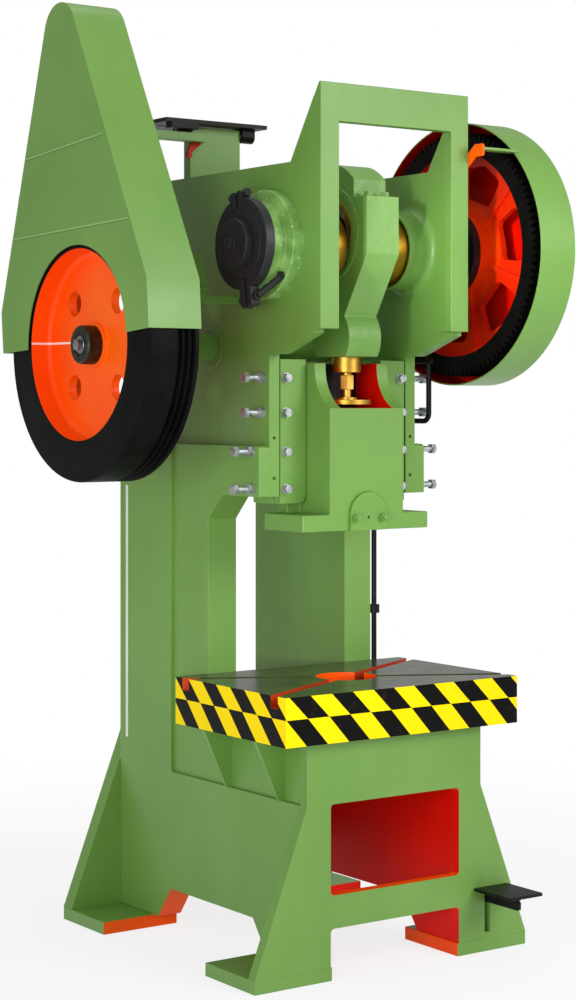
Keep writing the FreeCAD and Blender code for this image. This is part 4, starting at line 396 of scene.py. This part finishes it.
# The wheel guard's foot runs lower in front and higher behind, over its lowest 60 mm
guardFoot = {"front": -16.0, "rise": 36.0, "frontY": -400, "length": 838, "flat": 6, "reach": 60, "side": 200}
guardCorners = [vert.co / mm for vert in frame["nodes"]["flywheel_guard"].data.vertices]
guardFrontY = backY + slideAxis.y / mm - guardFoot["side"]
guardRearY = backY + slideAxis.y / mm + guardFoot["side"]
frontFoot = min(corner.z for corner in guardCorners if corner.y < guardFrontY)
rearFoot = min(corner.z for corner in guardCorners if corner.y > guardRearY)


def trueFoot(corner):
    foot = frontFoot if corner.y < backY else rearFoot
    share = max(0.0, min(1.0, 1.0 - (corner.z - foot - guardFoot["flat"]) / guardFoot["reach"]))
    along = (corner.y - backY - guardFoot["frontY"]) / guardFoot["length"]
    return Vector((0, 0, share * (guardFoot["front"] + along * guardFoot["rise"])))


coverLook = {"gap": 4.5, "side": boxOf("right_gib_cover")[1].x}


def narrowed(corner):  # leaves the dark gap between a gib cover and the cheek beside it
    isOuter = abs(corner.x) > coverLook["side"] - 0.5
    return Vector((-math.copysign(coverLook["gap"], corner.x) if isOuter else 0, 0, 0))


shapeOf = {"flywheel_guard": trueFoot, "left_gib_cover": narrowed, "right_gib_cover": narrowed}


def skin(node, materials, easing, pick):
    # pick(centre, normal, corners) gives the index of a face's material, in the millimetres used here
    name = "".join(w.capitalize() if i else w for i, w in enumerate(node.split("_")))
    mesh = frame["nodes"][node].data.copy()
    mesh.name = name
    mesh.materials.clear()
    for material in materials:
        mesh.materials.append(material)
    piece = bpy.data.objects.new(name, mesh)
    bpy.context.scene.collection.objects.link(piece)
    bm = bmesh.new()
    bm.from_mesh(mesh)
    bmesh.ops.remove_doubles(bm, verts=bm.verts, dist=skinLook["joinMm"] * mm)
    bmesh.ops.dissolve_limit(bm, angle_limit=math.radians(skinLook["flatAngle"]), verts=bm.verts, edges=bm.edges,
                             delimit={"NORMAL"})
    if node in shapeOf:
        for vert in bm.verts:
            vert.co += shapeOf[node]((vert.co - axisShift) / mm) * mm
    for axis, place in paintLines.get(node, ()):
        normal = Vector([float(axis == i) for i in range(3)])
        bmesh.ops.bisect_plane(bm, geom=bm.verts[:] + bm.edges[:] + bm.faces[:], dist=0.01 * mm,
                               plane_co=normal * (place * mm) + axisShift, plane_no=normal)
    for face in bm.faces:
        corners = [(vert.co - axisShift) / mm for vert in face.verts]
        centre = (face.calc_center_median() - axisShift) / mm
        face.material_index = pick(centre, face.normal, corners) if pick else 0
        face.smooth = True
    trees = [tree for other, tree in flushTrees.items() if other != node] if node in flushTrees else []
    weight = bm.edges.layers.float.new("bevel_weight_edge")
    for edge in bm.edges:
        sharp = isSharp(edge)
        edge.smooth = not sharp
        edge[weight] = 1.0 if sharp and not (trees and isSeam(edge, trees)) else 0.0
    bm.to_mesh(mesh)
    bm.free()
    addEasing(piece, easing)
    finish(piece, bodyOf[node], [node])


def wallPick(centre, normal, corners):  # the walls inside the base are red
    if centre.z < bedZ and abs(centre.x) < wallX + 1 and abs(normal.x) > 0.9:
        return 1
    return archPick(centre, normal, corners)


def archPick(centre, normal, corners):  # the side openings' slanting rear edges are orange, and red on the right as painted shade
    isSlant = normal.y < -0.3 and normal.z < 0.1
    if centre.z < archLook["top"] and isSlant and centre.y > archLook["rearFrom"]:
        return 2 if centre.x < 0 else 1
    return 0


def frontPick(centre, normal, corners):  # the window's sill orange, its other edges and the plate's back red
    if abs(centre.x) > wallX + 1 or centre.z > bedZ or normal.y < -0.5:
        return 0
    return 2 if normal.z > 0.5 else 1


def backPick(centre, normal, corners):
    return 1 if normal.y < -0.9 and abs(centre.x) < wallX else 0


def padPick(centre, normal, corners):  # only the faces that look under the base are orange or red; the right rear pad's front face is red as painted shade
    if centre.y > archLook["rearFrom"]:
        return (1 if centre.x < 0 else 2) if normal.y < -0.9 else 0
    isUnder = abs(centre.x) < wallX and normal.y > -0.5
    return 1 if normal.x * centre.x < -0.9 * abs(centre.x) or isUnder else 0


def tablePick(centre, normal, corners):  # band on the sides, orange in the hole, primer in the slots
    isSlot = math.hypot(centre.x, centre.y) > tableLook["holeReach"]
    if abs(normal.z) < 0.5:
        if abs(abs(centre.x) - tableLook["halfX"]) < 1:
            return 3 if abs(normal.x) > 0.99 else 4
        if abs(abs(centre.y) - tableLook["halfY"]) < 1 and abs(normal.y) > 0.99:
            return 2
        if isSlot:  # slots from the left rear to the right front show primer at their left end alone
            return 0 if normal.x * normal.y > 0 and centre.x > tableLook["slotEnd"] else 4
        return 1
    isFloor = normal.z > 0.5 and centre.z < tableZ - tableLook["slotDeep"]
    return (4 if isSlot else 1) if isFloor else 0


def pocketPick(centre, normal, corners):  # the pocket round the ball screw is red, with painted shade in black on its back wall
    isAcross = abs(centre.x) < pocketLook["halfWidth"] and pocketLook["front"] < centre.y < pocketLook["back"]
    if not (isAcross and centre.z > slideTop - pocketLook["deep"]):
        return 0
    return 2 if normal.y < -0.9 and centre.y > pocketLook["backWall"] else 1


def meanRadius(corners, y, z):
    return sum(math.hypot(corner.y - y, corner.z - z) for corner in corners) / len(corners)


def wheelPick(centre, normal, corners):  # black rim round an orange web
    return 1 if meanRadius(corners, backY, backZ) > wheelLook["rimFrom"] else 0


def gearPick(centre, normal, corners):  # black teeth round an orange web
    return 1 if meanRadius(corners, 0, crankZ) > gearLook["rimFrom"] else 0


def bushPick(centre, normal, corners):  # those of the back shaft are painted over
    return 1 if centre.y > shaftLook["behind"] else 0


def shaftPick(centre, normal, corners):  # the shaft's own end stays bare
    return 1 if centre.x < shaftLook["bareEnd"] else 0


def stayPick(centre, normal, corners):  # the upright leg of the gear guard's stay is orange
    return 1 if 0 < centre.x < wallX + stayLook["legSide"] + 1 and centre.y < 0 else 0


def gearGuardPick(centre, normal, corners):  # red inside
    outward = normal.y * centre.y + normal.z * (centre.z - crankZ)
    isBack = normal.x < -0.9 and centre.x > gearGuardLook["backX"]
    return 1 if isBack or abs(normal.x) < 0.5 and outward < 0 else 0


skinTable = [
    (("left_main_plate", "right_main_plate"), [green, red, orange], 2.0, wallPick),
    (("left_outer_plate", "right_outer_plate", "left_cheek_plate", "right_cheek_plate"), [green, red, orange], 2.0,
     archPick),
    (("left_inner_plate", "right_inner_plate", "bed_gussets", "head_front_frame"), [green], 2.0, None),
    (("base_front_plate",), [green, red, orange], 2.0, frontPick),
    (("base_back_plate",), [green, red], 2.0, backPick),
    (("left_gib_cover", "right_gib_cover", "left_gib_block", "right_gib_block"), [green], 2.0, None),
    (("right_crank_housing", "back_shaft_housings"), [castGreen], 2.5, None),
    (("left_crank_housing",), [highlightedRoughGreen], 2.5, None),
    (("head_ties", "side_bracket", "motor_panel", "panel_angle"), [green], 1.5, None),
    (("guard_stays",), [green, orange], 1.5, stayPick),
    (("flywheel_guard",), [seamShadedGuardGreen], 0.8, None),
    (("gear_guard",), [green, red], 0.8, gearGuardPick),
    (("foot_pads",), [green, orange, red], 2.0, padPick),
    (("tension_lug",), [primer], 1.5, None),
    (("rod_body", "rod_cap"), [castGreen], 5.0, None),
    # The slide's black is painted shade on the back wall of its pocket
    (("slide",), [green, red, blackPaint], 3.0, pocketPick),
    (("shank_clamp",), [green], 2.0, None),
    (("bull_gear",), [gearPaint, rimBlack], 1.0, gearPick),
    (("flywheel",), [wheelOrange, rimBlack], 2.0, wheelPick),
    (("motor_platform", "pedal_lever", "pedal_plate", "trip_lever"), [blackPaint], 1.5, None),
    (("pull_rod", "rod_collar"), [blackPaint], 1.0, None),
    (("brake_fasteners",), [castBlack], 1.0, None),
    (("front_brake_shoe", "rear_brake_shoe", "brake_drum", "clutch_disc"), [castBlack], 2.5, None),
    (("bearing_bushes",), [bronze, green], 1.0, bushPick),
    (("back_shaft",), [green, oiledSteel], 1.0, shaftPick),
    (("rod_bush",), [bronze], 1.0, None),
    (("ball_screw", "lock_ring"), [brass], 1.5, None),
    (("clamp_studs", "cap_bolts"), [green], 1.0, None),
    (("gib_cover_bolts", "gib_adjusting_bolts"), [zinc], 1.0, None),
    (("crankshaft", "pinion", "hinge_pins", "linkage_pivots"), [steel], 1.0, None),
    (("bolster",), [tableTop, orange, bandFront, bandSide, primer], 2.0, tablePick),
]
for nodes, materials, easing, pick in skinTable:
    for node in nodes:
        skin(node, materials, easing, pick)
print("skins made")


# Small turned and hexagonal pieces on the press's left side

poleR = 0.5  # a turned face stops this far from its middle, and the rest is filled
hexEase = 0.07  # how much of a hexagon's width its outer edges lose


def addTurned(bm, along, side, up, profile, segments=48):
    # Spins a profile of (distance along x, radius) about the axis through side and up
    corners = [bm.verts.new(spot(along + distance, side + radius, up)) for distance, radius in profile]
    edges = [bm.edges.new(pair) for pair in zip(corners, corners[1:])]
    bmesh.ops.spin(bm, geom=corners + edges, cent=spot(along, side, up), axis=(1, 0, 0), angle=2 * math.pi,
                   steps=segments, use_merge=True)
    bmesh.ops.holes_fill(bm, edges=[edge for edge in bm.edges if edge.is_boundary], sides=segments)


def addHex(bm, along, side, up, across, height):
    # Hexagon head or nut, its outer corners turned off
    radius = across / math.sqrt(3) * mm
    place = Matrix.Translation(spot(along - height / 2, side, up)) @ Matrix.Rotation(math.radians(-90), 4, "Y")
    made = bmesh.ops.create_cone(bm, cap_ends=True, segments=6, radius1=radius, radius2=radius, depth=height * mm,
                                 matrix=place)
    outerX = spot(along - height, 0, 0).x
    rim = {edge for vert in made["verts"] for edge in vert.link_edges
           if all(abs(end.co.x - outerX) < 0.1 * mm for end in edge.verts)}
    bmesh.ops.bevel(bm, geom=list(rim), offset=across * hexEase * mm, offset_type="OFFSET", affect="EDGES",
                    segments=2, profile=0.5, material=-1)


def addWasher(bm, along, side, up, radius, thick, ease=1):
    addTurned(bm, along, side, up, [(0, radius), (ease - thick, radius), (-thick, radius - ease), (-thick, poleR)])


def addFastener(bm, along, side, up, look):  # washer with a hexagon on it
    addWasher(bm, along, side, up, look["washerR"], look["washerThick"])
    addHex(bm, along - look["washerThick"], side, up, look["across"], look["high"])


def makePiece(name, bm, material, body, nodes=()):
    mesh = bpy.data.meshes.new(name)
    bmesh.ops.recalc_face_normals(bm, faces=bm.faces)
    for face in bm.faces:
        face.smooth = True
    for edge in bm.edges:
        edge.smooth = not isSharp(edge)
    bm.to_mesh(mesh)
    bm.free()
    mesh.materials.append(material)
    piece = bpy.data.objects.new(name, mesh)
    bpy.context.scene.collection.objects.link(piece)
    finish(piece, body, nodes)


# Collar with a dished face that holds the wheel on its shaft
collarLook = {"roll": 8, "edge": 3, "edgeIn": 1.5, "faceIn": 6, "dishR": (33, 31), "dishDeep": 4}
collarLow, collarHigh = boxOf("shaft_collar")
collarR = (collarHigh.z - collarLow.z) / 2
deep = collarHigh.x - collarLow.x
bm = bmesh.new()
addTurned(bm, collarHigh.x, backY, backZ, [
    (0, collarR), (collarLook["roll"] - deep, collarR), (collarLook["edge"] - deep, collarR - collarLook["edgeIn"]),
    (-deep, collarR - collarLook["faceIn"]), (-deep, collarLook["dishR"][0]),
    (collarLook["dishDeep"] - deep, collarLook["dishR"][1]), (collarLook["dishDeep"] - deep, poleR)])
makePiece("wheelCollar", bm, oiledSteel, bodyOf["shaft_collar"], ["shaft_collar"])

# Washer and bolt in the collar's dish
boltLook = {"washerR": 25, "washerThick": 4, "across": 30, "high": 13}
bm = bmesh.new()
addFastener(bm, collarLow.x + collarLook["dishDeep"], backY, backZ, boltLook)
makePiece("wheelBolt", bm, steel, bodyOf["shaft_collar"])

# Nut and washer in the middle of the brake's cover
nutLook = {"washerR": 19, "washerThick": 4, "across": 27, "high": 14}
bm = bmesh.new()
addFastener(bm, boxOf("brake_drum")[0].x, 0, crankZ, nutLook)
makePiece("coverNut", bm, castBlack, bodyOf["brake_drum"])

# Painted highlight: a white stripe down the column's rear corner edge
stripeLook = {"y": 723, "wide": 13, "middleZ": 950, "long": 780, "thick": 0.3, "steps": 40}
columnX = boxOf("left_cheek_plate")[0].x
bm = bmesh.new()
bmesh.ops.create_grid(bm, x_segments=1, y_segments=stripeLook["steps"], size=0.5)
for vert in bm.verts:
    vert.co = spot(columnX, stripeLook["y"] + stripeLook["wide"] * vert.co.x,
                   stripeLook["middleZ"] + stripeLook["long"] * vert.co.y)
made = bmesh.ops.extrude_face_region(bm, geom=bm.faces[:])
bmesh.ops.translate(bm, verts=[item for item in made["geom"] if isinstance(item, bmesh.types.BMVert)],
                    vec=(-stripeLook["thick"] * mm, 0, 0))
makePiece("columnStripe", bm, whiteEdgeHighlight, "frame")
print("small pieces made")


# Floor, light and camera

stageLook = {"size": 9.0, "fadeFrom": 1.2, "fadeTo": 3.5, "least": 0.8, "tone": "#F4F4F4"}


def makeFloor():  # pale, and white to the camera further out
    bm = bmesh.new()
    bmesh.ops.create_circle(bm, cap_ends=True, segments=96, radius=stageLook["size"])
    mesh = bpy.data.meshes.new("floor")
    bm.to_mesh(mesh)
    bm.free()
    floor = bpy.data.objects.new("floor", mesh)
    bpy.context.scene.collection.objects.link(floor)
    material, tree, coords = newMaterial("paleFloor")
    pale = addNode(tree, "BsdfPrincipled", Base_Color=linearColour(stageLook["tone"]), Roughness=0.9)
    distance = addNode(tree, "VectorMath", coords, operation="LENGTH").outputs["Value"]
    fade = addNode(tree, "MapRange", distance, interpolation_type="SMOOTHSTEP", From_Min=stageLook["fadeFrom"],
                   From_Max=stageLook["fadeTo"], To_Min=stageLook["least"])
    rays = addNode(tree, "LightPath").outputs
    seen = addNode(tree, "Math", rays["Is Camera Ray"], rays["Is Glossy Ray"], operation="MAXIMUM")
    amount = addNode(tree, "Math", seen, fade, operation="MULTIPLY")
    white = addNode(tree, "Emission", (1, 1, 1, 1), 1.0)
    addNode(tree, "OutputMaterial", Surface=addNode(tree, "MixShader", amount, pale, white))
    mesh.materials.append(material)


# Places in metres from the frame's origin, sizes in metres, powers in watts, cones in degrees
lightLook = {
    "ambient": 0.46,
    "key": {"at": (2.2, -5.2, 3.6), "aim": (0, 0, 1.3), "size": 3.2, "power": 185},
    "fill": {"at": (-4.8, -3.4, 1.5), "aim": (0, 0, 1.2), "size": 3.0, "power": 103},
    "top": {"at": (0.0, 0.5, 6.0), "aim": (0, 0, 1.0), "size": 3.5, "power": 50},
    # Narrow soft lamps reach into the gear guard and the throat, and onto the wheel's web
    "gear": {"at": (-4.8, -3.0, 2.2), "aim": (0.515, -0.43, 2.02), "size": 0.4, "power": 1300, "cone": 7.5},
    "throat": {"at": (-3.7, -4.6, 1.2), "aim": (0.25, 0.24, 1.05), "size": 0.5, "power": 420, "cone": 13.0},
    "web": {"at": (-5.6, -1.4, 1.9), "aim": (-0.56, 0.107, 1.76), "size": 0.6, "power": 240, "cone": 8.0},
}


def makeWorld():
    world = bpy.data.worlds.new("studio")
    bpy.context.scene.world = world
    world.use_nodes = True
    tree = world.node_tree
    tree.nodes.clear()
    rays = addNode(tree, "LightPath").outputs
    seen = addNode(tree, "Math", rays["Is Camera Ray"], rays["Is Transmission Ray"], operation="MAXIMUM")
    soft = addNode(tree, "Background", (1, 1, 1, 1), lightLook["ambient"])
    white = addNode(tree, "Background", (1, 1, 1, 1), 1.0)
    addNode(tree, "OutputWorld", Surface=addNode(tree, "MixShader", seen, soft, white))


def makeLamp(name, look):
    isSpot = "cone" in look
    lamp = bpy.data.lights.new(name, "SPOT" if isSpot else "AREA")
    if isSpot:
        lamp.spot_size = math.radians(look["cone"])
        lamp.spot_blend = 1.0
        lamp.shadow_soft_size = look["size"] / 2
    else:
        lamp.shape = "DISK"
        lamp.size = look["size"]
    lamp.energy = look["power"]
    holder = bpy.data.objects.new(name, lamp)
    holder.location = look["at"]
    holder.rotation_euler = (Vector(look["aim"]) - Vector(look["at"])).to_track_quat("-Z", "Y").to_euler()
    bpy.context.scene.collection.objects.link(holder)


# The photograph's viewing place in millimetres from the slide's axis, and its turn in degrees
cameraLook = {"place": (-3717.5, -4976.0, 1599.0), "turn": -35.19, "lens": 76.85, "lift": -0.0986}


def makeCamera():
    data = bpy.data.cameras.new("camera")
    data.lens = cameraLook["lens"]
    data.shift_y = cameraLook["lift"]
    data.clip_end = 100
    camera = bpy.data.objects.new("camera", data)
    camera.location = spot(*cameraLook["place"])
    camera.rotation_euler = (math.radians(90), 0, math.radians(cameraLook["turn"]))
    bpy.context.scene.collection.objects.link(camera)
    bpy.context.scene.camera = camera


makeFloor()
makeWorld()
for name, look in lightLook.items():
    if name != "ambient":
        makeLamp(name, look)
makeCamera()
bpy.context.scene.view_settings.view_transform = "Standard"
print("stage made")
